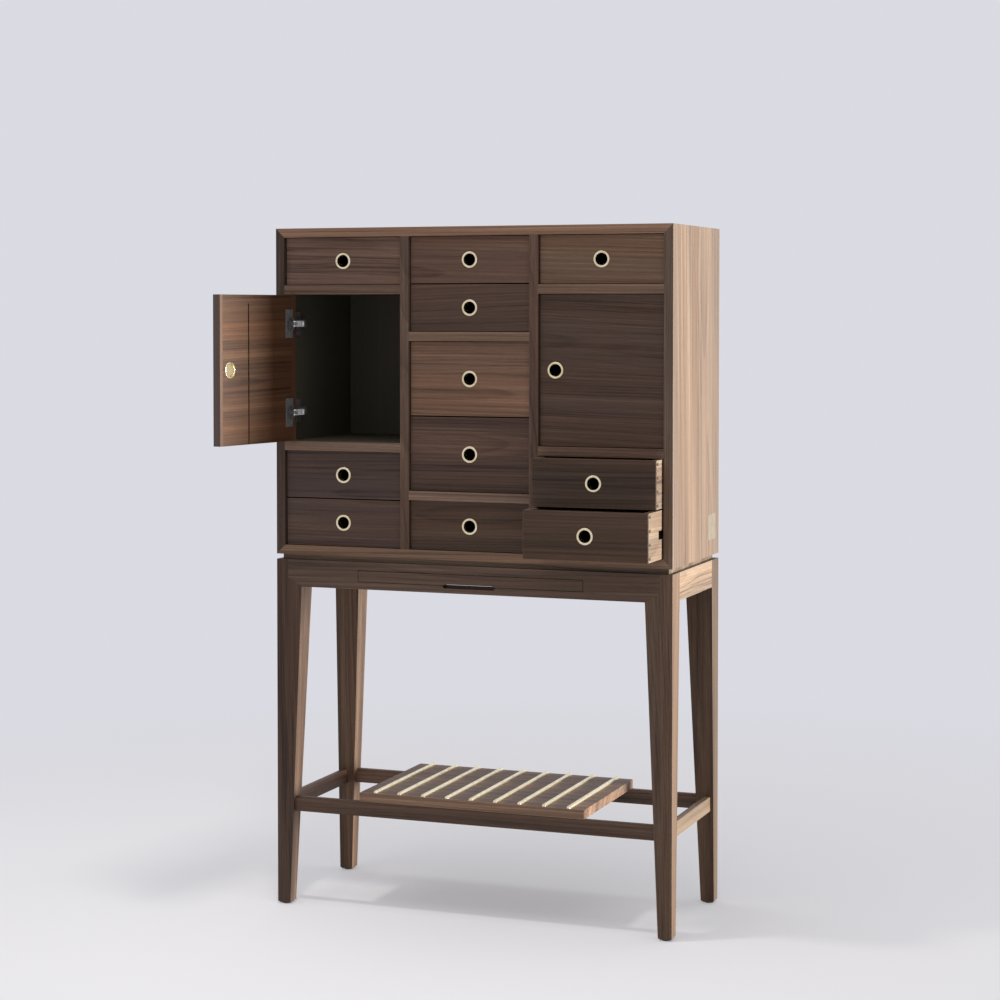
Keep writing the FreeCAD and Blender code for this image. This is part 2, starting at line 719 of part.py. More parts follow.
def make_door_panel(hinge_heights):
    """Door of a core and two upright lippings, in the frame of its hinge axis."""
    hinge_side = DOOR_EDGE
    free_side = f"{DOOR_EDGE} + {FRONT_WIDTH}"
    cup_middle = f"{DOOR_EDGE} + cup_edge + cup_radius"
    holes = [
        rod(
            f"door_cup_hole_{number}",
            "cup_radius + cup_gap",
            "cup_depth",
            (cup_middle, DOOR_INNER, height),
            INTO_DOOR,
        )
        for number, height in enumerate(hinge_heights)
    ]
    core = box(
        "door_core_board",
        (f"{FRONT_WIDTH} - hinge_lip - free_lip", "front_board", DOOR_HEIGHT),
        (f"{hinge_side} + hinge_lip", "front_recess", "0"),
    )
    kerf = box(
        "door_kerf",
        ("kerf_width", "kerf_depth", f"{DOOR_HEIGHT} - kerf_stop"),
        (f"{free_side} - kerf_place - kerf_width / 2", f"{DOOR_INNER} - kerf_depth", "0"),
    )
    finger_hole = rod(
        "door_finger_hole",
        "ring_hole + ring_wall + ring_gap",
        "front_board",
        (f"{free_side} - door_ring_inset", "front_recess", f"{DOOR_HEIGHT} / 2"),
        FreeCAD.Vector(0, 1, 0),
    )
    hinge_strip = box(
        "door_hinge_strip",
        ("hinge_lip", "front_board", DOOR_HEIGHT),
        (hinge_side, "front_recess", "0"),
    )
    free_strip = box(
        "door_free_strip",
        ("free_lip", "front_board", DOOR_HEIGHT),
        (f"{free_side} - free_lip", "front_recess", "0"),
    )
    return [
        cut("door_core", core, kerf, finger_hole, *holes),
        cut("door_hinge_lipping", hinge_strip, *holes),
        free_strip,
    ]


def make_doors(ring):
    """Both doors with their rings and hinges, drawn for the left side and mirrored for the right."""
    heights = ("hinge_inset", f"{DOOR_HEIGHT} - hinge_inset")
    ring_place = (
        f"{DOOR_EDGE} + {FRONT_WIDTH} - door_ring_inset",
        "front_recess",
        f"{DOOR_HEIGHT} / 2",
    )
    pieces = {
        "door": make_door_panel(heights),
        "door_ring": [place(group("door_ring_in_place", [ring]), *ring_place)],
        "door_hinge_cups": at_heights("hinge_cup_at", make_hinge_cup(), DOOR_EDGE, DOOR_INNER, heights),
    }
    arms = at_heights("hinge_arm_at", make_hinge_arm(), "0", "0", heights)
    links = at_heights("hinge_link_at", make_hinge_link(), "0", "0", heights)
    wall_side = at_heights("hinge_mount_at", make_hinge_mount(), "-axis_inset", CASE_PIVOT[1], heights)

    mounts = []
    for filling, column, bottom, height in openings():
        if not filling.startswith("door"):
            continue
        side = filling.removeprefix("door_")
        angle = f"{side}_door_open"
        swung_pivot = (
            f"{DOOR_PIVOT[0]} * cos({angle}) + {DOOR_PIVOT[1]} * sin({angle})",
            f"{DOOR_PIVOT[1]} * cos({angle}) - {DOOR_PIVOT[0]} * sin({angle})",
        )
        turned = {
            f"{piece}_{side}": swing(f"{piece}_{side}_turned", solids, ("0", "0"), angle)
            for piece, solids in pieces.items()
        }
        turned[f"hinge_arms_{side}"] = swing(f"hinge_arms_{side}_turned", arms, CASE_PIVOT, angle)
        turned[f"hinge_links_{side}"] = place(group(f"hinge_links_{side}_moved", links), *swung_pivot)
        turned["hinge_mounts"] = group(f"hinge_mounts_{side}", wall_side)
        axis = f"{column_left(column)} + axis_inset"
        if side == "right":
            axis = f"{column_left(column)} + {COLUMN} - axis_inset"
        for name, thing in turned.items():
            if side == "right":
                thing = mirror(f"{name}_image", thing, "x")
            whole = place(group(f"{name}_{side}_placed", [thing]), axis, FRONT, f"{bottom} + split_gap")
            if name == "hinge_mounts":
                mounts.append(whole)
            else:
                keep(name, whole)
    keep("hinge_mounts", group("hinge_mount_set", mounts))


# ---------------------------------------------------------------- stand

def make_leg():
    """Front left leg before its joints: outer faces upright, inner faces tapered to the foot."""
    body = new_body("leg_blank")
    taper_height = f"{APRON_BOTTOM} - glide_height"
    full_height = "stand_height - glide_height"
    front_view = outline(body, "leg_front_view", "XZ_Plane", (
        ("0", "0"),
        ("foot_size", "0"),
        ("leg_wide", taper_height),
        ("leg_wide", full_height),
        ("0", full_height),
    ))
    pad(body, "leg_board", front_view, "leg_deep", backwards=True)
    side_view = outline(body, "leg_side_view", "YZ_Plane", (
        ("foot_size", "0"),
        ("leg_deep", "0"),
        ("leg_deep", taper_height),
    ))
    pocket(body, "leg_side_taper", side_view, "leg_wide", backwards=True)
    foot = body.newObject("PartDesign::Chamfer", "leg_foot_chamfer")
    tapered = doc.getObject("leg_side_taper")
    foot.Base = (tapered, edges_where(tapered, lambda corner: abs(corner.z) < 0.01))
    bind(foot, Size="foot_chamfer")
    body.Tip = foot
    return place(body, LEFT, FRONT, "glide_height")


def make_apron(name, with_drawer):
    """Front or back apron, whose ends lap over the legs and end in a slanting seam."""
    body = new_body(name)
    seam = "apron_height - lap_height"
    face = outline(body, name + "_face", "XZ_Plane", (
        ("leg_wide", "0"),
        ("case_width - leg_wide", "0"),
        ("case_width - leg_stile", seam),
        ("case_width - leg_stile", "apron_height"),
        ("leg_stile", "apron_height"),
        ("leg_stile", seam),
    ))
    pad(body, name + "_board", face, "apron_board", backwards=True)
    if with_drawer:
        slim_right = f"{SLIM_LEFT} + slim_width"
        opening = outline(body, name + "_opening_outline", "XZ_Plane", (
            (SLIM_LEFT, "bottom_strip"),
            (slim_right, "bottom_strip"),
            (slim_right, f"bottom_strip + {SLIM_HEIGHT}"),
            (SLIM_LEFT, f"bottom_strip + {SLIM_HEIGHT}"),
        ))
        pocket(body, name + "_opening", opening, "apron_board")
        pull_left = "(case_width / 2 - pull_width / 2)"
        pull_right = "(case_width / 2 + pull_width / 2)"
        scoop = outline(body, name + "_scoop_outline", "XZ_Plane", (
            (pull_left, "bottom_strip"),
            (f"{pull_left} + pull_slope", "bottom_strip - pull_drop"),
            (f"{pull_right} - pull_slope", "bottom_strip - pull_drop"),
            (pull_right, "bottom_strip"),
        ))
        pocket(body, name + "_scoop", scoop, "pull_depth")
    return place(body, LEFT, FRONT, APRON_BOTTOM)


def make_stand():
    """Legs, aprons, stretchers and glides."""
    front = keep("apron_front", make_apron("apron_front_body", True))
    back = keep("apron_back", mirror("apron_back_image", make_apron("apron_back_body", False), "y"))
    side_apron = box(
        "apron_left_board",
        ("apron_board", "case_depth - 2 * leg_deep", "apron_height"),
        (LEFT, f"{FRONT} + leg_deep", APRON_BOTTOM),
    )
    keep("apron_left", side_apron)
    keep("apron_right", mirror("apron_right_image", side_apron, "x"))

    plain = make_leg()
    glide = rod(
        "glide",
        "glide_radius",
        "glide_height",
        (f"{LEFT} + foot_size / 2", f"{FRONT} + foot_size / 2", "0"),
        FreeCAD.Vector(0, 0, 1),
    )
    across_blank = mirror("leg_blank_right", plain, "x")
    across_glide = mirror("glide_right", glide, "x")
    blanks = {
        "leg_front_left": (plain, front),
        "leg_front_right": (across_blank, front),
        "leg_back_left": (mirror("leg_blank_back_left", plain, "y"), back),
        "leg_back_right": (mirror("leg_blank_back_right", across_blank, "y"), back),
    }
    for label, (blank, apron) in blanks.items():
        keep(label, cut(label + "_jointed", blank, apron))
    glides = [glide, across_glide]
    glides += [mirror(f"glide_back_{number}", one, "y") for number, one in enumerate(list(glides))]
    keep("foot_glides", group("glide_set", glides))

    legs = group("leg_blanks", [blank for blank, apron in blanks.values()])
    long = make_stretcher("stretcher_front_bar", "x", legs)
    keep("stretcher_front", long)
    keep("stretcher_back", mirror("stretcher_back_image", long, "y"))
    short = make_stretcher("stretcher_left_bar", "y", legs)
    keep("stretcher_left", short)
    keep("stretcher_right", mirror("stretcher_right_image", short, "x"))


def make_stretcher(name, along, legs):
    """Front or left stretcher with eased upper edges, its ends cut to the slope of the legs."""
    body = new_body(name)
    role = "YZ_Plane" if along == "x" else "XZ_Plane"
    inner = "stretcher_inset + stretcher_board"
    section = outline(body, name + "_section", role, (
        ("stretcher_inset", "stretcher_bottom"),
        (inner, "stretcher_bottom"),
        (inner, "stretcher_bottom + stretcher_height"),
        ("stretcher_inset", "stretcher_bottom + stretcher_height"),
    ))
    run = "case_width" if along == "x" else "case_depth"
    solid = pad(body, name + "_run", section, f"{run} - 2 * foot_size", backwards=along == "y")
    doc.recompute()
    top = max(corner.Z for corner in solid.Shape.Vertexes)
    eased = body.newObject("PartDesign::Fillet", name + "_eased")
    long_edges = [
        edge for edge in edges_where(solid, lambda corner: abs(corner.z - top) < 0.01)
        if solid.Shape.getElement(edge).Length > 100
    ]
    eased.Base = (solid, long_edges)
    bind(eased, Radius="stretcher_round")
    body.Tip = eased
    if along == "x":
        place(body, f"{LEFT} + foot_size", FRONT, "0")
    else:
        place(body, LEFT, f"{FRONT} + foot_size", "0")
    return cut(name + "_fitted", body, legs)


def make_bar(length):
    """One bar of the tray, from the back to the front: upright sides and a half-round top."""
    strip = box("bar_strip", ("bar_width", length, "bar_side"), ("-bar_width / 2", f"-{length}", "0"))
    crown = rod("bar_crown", "bar_width / 2", length, ("0", "0", "bar_side"), FreeCAD.Vector(0, -1, 0))
    crown.Angle = 180
    return fuse("bar", strip, crown)


def make_tray():
    """Tray board on the front and back stretchers, with brass bars along it."""
    tray_bottom = "stretcher_bottom + stretcher_height"
    depth = "(case_depth - 2 * stretcher_inset)"
    slab = box(
        "tray_slab",
        ("tray_width", depth, "tray_board"),
        ("-tray_width / 2", f"-{depth} / 2", tray_bottom),
    )
    keep("tray_board", slab)
    bar = make_bar(f"({depth} - 2 * bar_setback)")
    back = f"{depth} / 2 - bar_setback"
    bars = [
        place(
            group(f"tray_bar_{number}", [bar]),
            f"({number} - (bar_count - 1) / 2) * bar_pitch",
            back,
            f"{tray_bottom} + tray_board",
        )
        for number in range(int(sheet.get("bar_count")))
    ]
    keep("tray_bars", group("tray_bar_set", bars))


# ---------------------------------------------------------------- slim drawer in the apron

def make_slim_drawer():
    """Shallow drawer behind the front apron's opening, and the two guides that carry it."""
    inner_left = f"({LEFT} + {SLIM_LEFT} + slim_gap)"
    width = "(slim_width - 2 * slim_gap)"
    low = f"({APRON_BOTTOM} + bottom_strip + slim_gap)"
    height = f"({SLIM_HEIGHT} - 2 * slim_gap)"
    wall = f"({height} - slim_sides_drop)"
    body = new_body("slim_front_body")
    notch_left = f"{width} / 2 - pull_width / 2 + pull_slope"
    notch_right = f"{width} / 2 + pull_width / 2 - pull_slope"
    face = outline(body, "slim_front_face", "XZ_Plane", (
        ("0", "0"),
        (notch_left, "0"),
        (f"{notch_left} + pull_slope", "pull_rise"),
        (f"{notch_right} - pull_slope", "pull_rise"),
        (notch_right, "0"),
        (width, "0"),
        (width, height),
        ("0", height),
    ))
    pad(body, "slim_front_board", face, "front_board", backwards=True)
    place(body, inner_left, FRONT, low)
    behind = f"({FRONT} + front_board)"
    run = f"({SLIM_LENGTH} - front_board)"
    right = f"{inner_left} + {width} - slim_side"
    pieces = [
        body,
        box("slim_side_left", ("slim_side", run, wall), (inner_left, behind, low)),
        box("slim_side_right", ("slim_side", run, wall), (right, behind, low)),
        box(
            "slim_back",
            (f"{width} - 2 * slim_side", "slim_side", f"{wall} - slim_bottom"),
            (f"{inner_left} + slim_side", f"{FRONT} + {SLIM_LENGTH} - slim_side", f"{low} + slim_bottom"),
        ),
        box(
            "slim_floor",
            (f"{width} - 2 * slim_side", run, "slim_bottom"),
            (f"{inner_left} + slim_side", behind, low),
        ),
    ]
    keep("slim_drawer", group("slim_drawer_box", pieces))

    guide = new_body("slim_guide_body")
    section = outline(guide, "slim_guide_section", "XZ_Plane", (
        ("0", "0"),
        ("guide_wall + ledge_width", "0"),
        ("guide_wall + ledge_width", "ledge_height"),
        ("guide_wall", "ledge_height"),
        ("guide_wall", f"ledge_height + {wall}"),
        ("0", f"ledge_height + {wall}"),
    ))
    pad(guide, "slim_guide_run", section, "case_depth - 2 * apron_board", backwards=True)
    place(
        guide,
        f"{inner_left} - guide_gap - guide_wall",
        f"{FRONT} + apron_board",
        f"{low} - guide_gap - ledge_height",
    )
    keep("slim_guides", group("slim_guide_pair", [guide, mirror("slim_guide_image", guide, "x")]))


# ---------------------------------------------------------------- build and write

make_case()
make_inner_boards()
make_plinth()
make_drawers(make_ring("drawer_ring_body", "front_board", False))
make_doors(make_ring("door_ring_body", "front_board", True))
make_stand()
make_tray()
make_slim_drawer()
doc.recompute()

for thing in doc.Objects:
    if "Invalid" in thing.State or "Error" in thing.State:
        raise RuntimeError(f"{thing.Label} failed: {thing.State}")
os.makedirs("parts", exist_ok=True)
for label, thing in sorted(parts.items()):
    shape = thing.Shape
    if shape.isNull() or not shape.isValid() or not shape.Solids:
        raise RuntimeError(f"{label} has no sound solid")
    shape.exportStep(f"parts/{label}.step")
print(f"{len(parts)} sub-parts, {sum(len(thing.Shape.Solids) for thing in parts.values())} solids")
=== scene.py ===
import math

import bpy
import numpy as np
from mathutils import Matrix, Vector


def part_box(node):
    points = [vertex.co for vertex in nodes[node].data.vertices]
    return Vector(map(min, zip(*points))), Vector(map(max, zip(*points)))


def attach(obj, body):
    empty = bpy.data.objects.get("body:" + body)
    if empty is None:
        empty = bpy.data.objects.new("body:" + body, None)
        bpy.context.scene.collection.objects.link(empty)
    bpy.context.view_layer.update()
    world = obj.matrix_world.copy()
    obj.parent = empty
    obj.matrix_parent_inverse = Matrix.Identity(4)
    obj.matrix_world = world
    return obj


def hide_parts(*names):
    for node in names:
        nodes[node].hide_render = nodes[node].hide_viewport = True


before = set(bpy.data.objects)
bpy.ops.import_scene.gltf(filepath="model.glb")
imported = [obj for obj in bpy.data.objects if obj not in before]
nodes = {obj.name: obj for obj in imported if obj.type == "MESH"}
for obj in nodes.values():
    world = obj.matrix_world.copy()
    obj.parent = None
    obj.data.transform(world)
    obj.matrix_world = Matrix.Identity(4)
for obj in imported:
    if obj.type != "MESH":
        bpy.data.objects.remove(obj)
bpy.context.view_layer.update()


# ---------------------------------------------------------------- legs
# Four solid walnut legs, outer faces upright and inner faces tapered to a small foot.
# Each is sawn from its own plank with the grain running up, planed, and its edges eased by hand.


class Signal:
    """A number, colour or direction that varies over a surface, held as one output socket."""

    def __init__(self, socket):
        self.socket = socket

    def node(self, kind, settings=None, inputs=None, output=0):
        """Any other node: its type, its settings, then numbers or signals for its sockets."""
        made = self.socket.id_data.nodes.new(kind)
        for name, value in (settings or {}).items():
            setattr(made, name, value)
        for socket, value in (inputs or {}).items():
            if isinstance(value, Signal):
                made.id_data.links.new(value.socket, made.inputs[socket])
            else:
                made.inputs[socket].default_value = value
        return Signal(made.outputs[output])

    def part(self, output):
        """Another output of the same node."""
        return Signal(self.socket.node.outputs[output])

    def maths(self, operation, first, second=0.0):
        return self.node("ShaderNodeMath", {"operation": operation}, {0: first, 1: second})

    def __add__(self, other):
        return self.maths("ADD", self, other)

    def __sub__(self, other):
        return self.maths("SUBTRACT", self, other)

    def __mul__(self, other):
        return self.maths("MULTIPLY", self, other)

    def __mod__(self, other):
        return self.maths("FLOORED_MODULO", self, other)

    def __pow__(self, other):
        return self.maths("POWER", self, other)

    def __rsub__(self, other):
        return self.maths("SUBTRACT", other, self)

    def __lt__(self, other):
        return self.maths("LESS_THAN", self, other)

    def __gt__(self, other):
        return self.maths("GREATER_THAN", self, other)

    def __abs__(self):
        return self.maths("ABSOLUTE", self)

    __radd__ = __add__
    __rmul__ = __mul__

    def least(self, other):
        """This or the other, whichever is smaller."""
        return self.maths("MINIMUM", self, other)

    def between(self, low, high):
        """Smooth step: 0 below the low value and 1 above the high one."""
        sockets = {"Value": self, "From Min": low, "From Max": high}
        return self.node("ShaderNodeMapRange", {"interpolation_type": "SMOOTHSTEP"}, sockets)

    def mix(self, first, second, kind="RGBA"):
        """The first colour or direction where this is 0, the second where it is 1."""
        start = {"RGBA": 6, "VECTOR": 4}[kind]
        output = {"RGBA": 2, "VECTOR": 1}[kind]
        sockets = {0: self, start: first, start + 1: second}
        return self.node("ShaderNodeMix", {"data_type": kind}, sockets, output)

    def split(self):
        """The three numbers of a place or direction."""
        first = self.node("ShaderNodeSeparateXYZ", {}, {0: self})
        return first, first.part(1), first.part(2)

    def times(self, other):
        """Each of a place's or colour's three numbers, multiplied by the same one of another's."""
        return self.node("ShaderNodeVectorMath", {"operation": "MULTIPLY"}, {0: self, 1: other})

    def stretched(self, along, across):
        """A place in the log, scaled by one number along the grain and another across it."""
        return self.times((along, across, across))

    def cloud(self, detail, roughness=0.5):
        """Soft noise from 0 to 1, about one blob for each unit of length."""
        sockets = {"Vector": self, "Scale": 1.0, "Detail": detail, "Roughness": roughness}
        return self.node("ShaderNodeTexNoise", {}, sockets)

    def bump(self, strength, depth):
        """The surface's direction where this is its height, and 1 is as high as the depth in metres."""
        return self.node("ShaderNodeBump", {}, {"Strength": strength, "Distance": depth, "Height": self})

    def feeds(self, shader, socket):
        """Join this to a socket of a shader or of an output."""
        self.socket.id_data.links.new(self.socket, shader.inputs[socket])


def new_finish(name):
    """An empty material: the material, its shader, and the place on the piece."""
    material = bpy.data.materials.new(name)
    material.use_nodes = True
    tree = material.node_tree
    place = Signal(tree.nodes.new("ShaderNodeTexCoord").outputs["Object"])
    return material, tree.nodes["Principled BSDF"], place


def in_the_log(place, along, pith, shift):
    """Place in a board's log, in metres: first the way along the grain, then the two ways across.

    The pith is the middle of the log's rings. The shift moves the board along the trunk, and the saw
    leaves each board a little out of line with the pith, so that no two have the same figure.
    """
    ways = dict(zip("xyz", place.split()))
    run = ways.pop(along)
    out, up = (way - pith["xyz".index(axis)] for axis, way in ways.items())
    slope = 0.03 * math.sin(2.4 * shift)
    return place.node("ShaderNodeCombineXYZ", {}, {0: run + 1.7 * shift, 1: out, 2: up + slope * run})


# Dark, middle and pale wood; then the two ways in which its hue wanders.
WALNUT = ((0.052, 0.029, 0.020), (0.150, 0.091, 0.062), (0.270, 0.172, 0.118))
RED_BROWN = (1.04, 0.985, 0.94, 1.0)
GREY_BROWN = (0.96, 1.005, 1.06, 1.0)
RINGS_TO_A_METRE = 260.0


def walnut_colour(log, tone):
    """Colour and surface height of black walnut at a place in its log.

    The distance from the pith, bent by slow noise, is divided into yearly rings that darken outwards and
    then drop back. Broad bands follow the rings, fine streaks run along for a hand's length, the hue
    wanders between red-brown and grey-brown, and pores are peaks of noise drawn out along the grain.
    """
    run, out, up = log.split()
    bend = log.stretched(1.3, 8.0).cloud(1.5)
    radius = (out * out + up * up) ** 0.5 + 0.026 * bend
    year = (RINGS_TO_A_METRE * radius) % 1.0
    late = year ** 2.5 * (1.0 - year.between(0.9, 1.0))
    band_place = run.node("ShaderNodeCombineXYZ", {}, {0: 0.6 * run, 1: 47.0 * radius, 2: 3.0 * out})
    band = band_place.cloud(3.0, 0.55)
    streak = log.stretched(1.7, 190.0).cloud(2.0, 0.55)
    fibre = log.stretched(30.0, 1300.0).cloud(1.0)
    pores = log.stretched(55.0, 2100.0).cloud(1.0).between(0.62, 0.74) * (1.0 - 0.6 * year)
    shade = 0.5 + 1.4 * (band - 0.5) + 1.0 * (streak - 0.5) + 0.4 * (fibre - 0.5) - 0.25 * (late - 0.2)
    dark, middle, pale = (tuple(np.multiply(colour, tone)) + (1.0,) for colour in WALNUT)
    colour = shade.between(0.45, 0.95).mix(shade.between(0.0, 0.55).mix(dark, middle), middle)
    colour = shade.between(0.5, 1.0).mix(colour, pale)
    hue = log.stretched(0.8, 15.0).cloud(1.0).between(0.3, 0.7).mix(RED_BROWN, GREY_BROWN)
    colour = (0.55 * pores).mix(colour.times(hue), dark)
    return colour, fibre * 0.25 - pores


def oil(material, shader, colour, height):
    """Satin oil over wood: open pores, and a soft shine that is duller in them than between them."""
    colour.feeds(shader, "Base Color")
    (0.50 - 0.12 * height).feeds(shader, "Roughness")
    height.bump(0.35, 0.0002).feeds(shader, "Normal")
    shader.inputs["Specular IOR Level"].default_value = 0.25
    return material


def end_grain(place, along):
    """1 on a face that cuts across the fibres, 0 on a face along them."""
    faces = place.node("ShaderNodeTexCoord", {}, {}, "Normal")
    across = faces.split()["xyz".index(along)]
    return abs(across).between(0.55, 0.9)


def pith_beside(name, pith):
    """Where the pith of a board's log lies, from its place counted from the middle of a CAD node."""
    low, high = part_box(name)
    return [(a + b) / 2 + way for a, b, way in zip(low, high, pith)]


END_GRAIN = (0.035, 0.022, 0.016, 1.0)


def walnut(name, along, pith, shift, tone, end_stain=0.45):
    """Solid walnut for a board that stands at a CAD node, darker where the saw cut across the grain."""
    material, shader, place = new_finish("walnut_" + name)
    colour, height = walnut_colour(in_the_log(place, along, pith_beside(name, pith), shift), tone)
    ends = (end_stain * end_grain(place, along)).mix(colour, END_GRAIN)
    return oil(material, shader, ends, height)


def dress(name, material):
    """Give a CAD node its finish."""
    nodes[name].data.materials.clear()
    nodes[name].data.materials.append(material)


def ease(name, width=0.0006):
    """Take the sharpness off a board's edges with a narrow round."""
    welded = nodes[name].modifiers.new("Weld", "WELD")
    welded.merge_threshold = 1e-6
    eased = nodes[name].modifiers.new("Eased", "BEVEL")
    eased.width = width
    eased.segments = 2
    eased.limit_method = "ANGLE"
    eased.angle_limit = math.radians(35)
    eased.harden_normals = True


# For each board, here and in the tables further down: the way its grain runs, where boards differ in
# that; the pith of its log from the board's middle; its place along the trunk; and its tone beside
# plain walnut, in red, green and blue. Each tone was fitted to the board as it looks where it stands,
# so besides the wood's own colour it holds painted light and shade.
LEG_PLANKS = {
    "leg_front_left": ((0.05, 0.09, 0), 1.0, (0.59, 0.56, 0.53)),
    "leg_front_right": ((-0.07, 0.06, 0), 2.0, (0.80, 0.79, 0.72)),
    "leg_back_left": ((0.04, -0.08, 0), 3.0, (0.70, 0.66, 0.58)),
    "leg_back_right": ((-0.09, -0.05, 0), 4.0, (0.68, 0.66, 0.58)),
}
for leg, (pith, shift, tone) in LEG_PLANKS.items():
    dress(leg, walnut(leg, "z", pith, shift, tone))
    ease(leg)


# ---------------------------------------------------------------- glides
# Turned glides of dark nylon under the feet, nailed into the end grain.
# They lift the legs off the floor by two millimetres.

material, shader, place = new_finish("glide_nylon")
scuff = place.stretched(400.0, 400.0).cloud(3.0)
nylon = scuff.between(0.35, 0.75).mix((0.022, 0.020, 0.019, 1.0), (0.060, 0.056, 0.052, 1.0))
nylon.feeds(shader, "Base Color")
(0.5 + 0.3 * scuff).feeds(shader, "Roughness")
dress("foot_glides", material)


# ---------------------------------------------------------------- aprons
# Four walnut rails under the stand's top edge. The front and back ones run over the legs in a lap
# whose seam slants down to the inner corner, and their grain runs right out to it.

APRON_PLANKS = {
    "apron_front": ("x", (0, 0.11, 0.05), 5.0, (0.82, 0.84, 0.85)),
    "apron_back": ("x", (0, -0.10, -0.06), 6.0, 1.0),
    "apron_left": ("y", (0.08, 0, 0.07), 7.0, 1.0),
    # The right apron's pale, greyer tone is partly painted light and sheen from the strong lamp on the
    # right.
    "apron_right": ("y", (-0.09, 0, 0.03), 8.0, (1.58, 1.74, 1.68)),
}
for apron, (along, pith, shift, tone) in APRON_PLANKS.items():
    dress(apron, walnut(apron, along, pith, shift, tone))
    ease(apron, 0.0005)


# ---------------------------------------------------------------- stretchers
# Slim walnut rails between the legs near the floor, upper edges rounded over.
# The long pair carries the tray, and all four are housed in the tapered faces of the legs.

STRETCHER_PLANKS = {
    "stretcher_front": ("x", (0, 0.05, 0.03), 9.0, (0.71, 0.66, 0.61)),
    "stretcher_back": ("x", (0, -0.06, 0.04), 10.0, 0.95),
    "stretcher_left": ("y", (0.05, 0, -0.05), 11.0, (0.65, 0.58, 0.55)),
    # The right stretcher's pale, greyer tone is partly painted light and sheen from the lamp on the right.
    "stretcher_right": ("y", (-0.04, 0, -0.06), 12.0, (1.11, 1.28, 1.25)),
}
for stretcher, (along, pith, shift, tone) in STRETCHER_PLANKS.items():
    dress(stretcher, walnut(stretcher, along, pith, shift, tone))
    ease(stretcher, 0.0005)


# ---------------------------------------------------------------- tray
# One wide walnut board on the long stretchers, its grain from side to side.
# Nine half-round brass bars are pinned across it to keep warm dishes off the wood.

dress("tray_board", walnut("tray_board", "x", (0, 0.13, -0.09), 13.0, (1.42, 1.36, 1.24), 0.1))
ease("tray_board", 0.0008)


def brass_finish(name, colour, roughness):
    """Polished brass with fine wiping marks and a little darker tarnish in patches."""
    material, shader, place = new_finish(name)
    tarnish = place.stretched(70.0, 70.0).cloud(4.0, 0.6)
    wiped = place.stretched(900.0, 160.0).cloud(2.0)
    r, g, b = colour
    warm = tarnish.between(0.35, 0.75).mix((r, g, b, 1.0), (0.82 * r, 0.74 * g, 0.62 * b, 1.0))
    warm.feeds(shader, "Base Color")
    (roughness + 0.16 * (tarnish - 0.4) + 0.1 * (wiped - 0.5)).feeds(shader, "Roughness")
    wiped.bump(0.12, 0.00005).feeds(shader, "Normal")
    shader.inputs["Metallic"].default_value = 1.0
    return material


def new_piece(name, points, faces, material, body, stands_for=None):
    """A mesh at the origin with its place in its points, riding on a body."""
    mesh = bpy.data.meshes.new(name)
    mesh.from_pydata(points.reshape(-1, 3), [], faces)
    mesh.materials.append(material)
    mesh.polygons.foreach_set("use_smooth", np.ones(len(mesh.polygons), bool))
    mesh.set_sharp_from_angle(angle=math.radians(40))
    mesh.validate()
    piece = bpy.data.objects.new(name, mesh)
    bpy.context.scene.collection.objects.link(piece)
    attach(piece, body)
    if stands_for:
        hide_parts(stands_for)


def strip_faces(rows, columns, closed_rows=False, start=0):
    """Quads of a grid of points that closes on itself across, and along too if asked."""
    down = np.arange(rows if closed_rows else rows - 1)[:, None]
    over = np.arange(columns)[None, :]
    below = (down + 1) % rows
    beside = (over + 1) % columns
    corners = (
        down * columns + over,
        down * columns + beside,
        below * columns + beside,
        below * columns + over,
    )
    return (np.stack(corners, -1).reshape(-1, 4) + start).tolist()


def tray_bars(count, pitch, length, foot, width=0.008, side=0.002):
    """Bars side by side: a section of upright sides and a half circle, carried from back to front.

    The section shrinks a little at both ends, as a file leaves it, and a flat face closes each end.
    """
    turn = np.linspace(0, np.pi, 25)
    crown = np.stack([width / 2 * np.cos(turn), side + width / 2 * np.sin(turn)], -1)
    section = np.concatenate([[(width / 2, 0.0)], crown, [(-width / 2, 0.0)]])
    ahead = length / 2 - np.array([0.0, 0.0004, 0.0012])
    along = np.concatenate([-ahead, ahead[::-1]])
    size = np.array([0.86, 0.97, 1.0, 1.0, 0.97, 0.86])
    middle = (np.arange(count) - (count - 1) / 2) * pitch
    points = np.empty((count, len(along), len(section), 3))
    points[..., 0] = middle[:, None, None] + size[None, :, None] * section[None, None, :, 0]
    points[..., 1] = -along[None, :, None]
    points[..., 2] = foot + size[None, :, None] * section[None, None, :, 1]
    faces = []
    step = len(along) * len(section)
    for bar in range(count):
        faces += strip_faces(len(along), len(section), start=bar * step)
        faces.append(list(range(bar * step, bar * step + len(section)))[::-1])
        faces.append(list(range((bar + 1) * step - len(section), (bar + 1) * step)))
    return points, faces


BARS = 9
BAR_PITCH = 0.0559

bar_brass = brass_finish("bar_brass", (1.0, 0.92, 0.70), 0.36)
low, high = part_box("tray_bars")
points, faces = tray_bars(BARS, BAR_PITCH, high.y - low.y, low.z)
new_piece("brass_tray_bars", points, faces, bar_brass, "cabinet", "tray_bars")


# ---------------------------------------------------------------- plinth
# A low frame of walnut strips, set back all round, that lifts the case off the stand.
# Screwed up through the stand, it leaves a dark shadow gap between the two.

# The plinth's pale, greyer tone is partly painted light and sheen from the lamp on the right, where its
# side shows.
dress("plinth", walnut("plinth", "x", (0, 0.2, -0.2), 14.0, (1.50, 1.72, 1.66)))


# ---------------------------------------------------------------- case
# Top, bottom and sides of solid walnut, mitred at the corners so that the grain turns from one
# board to the next. The back panel lies in a rebate.

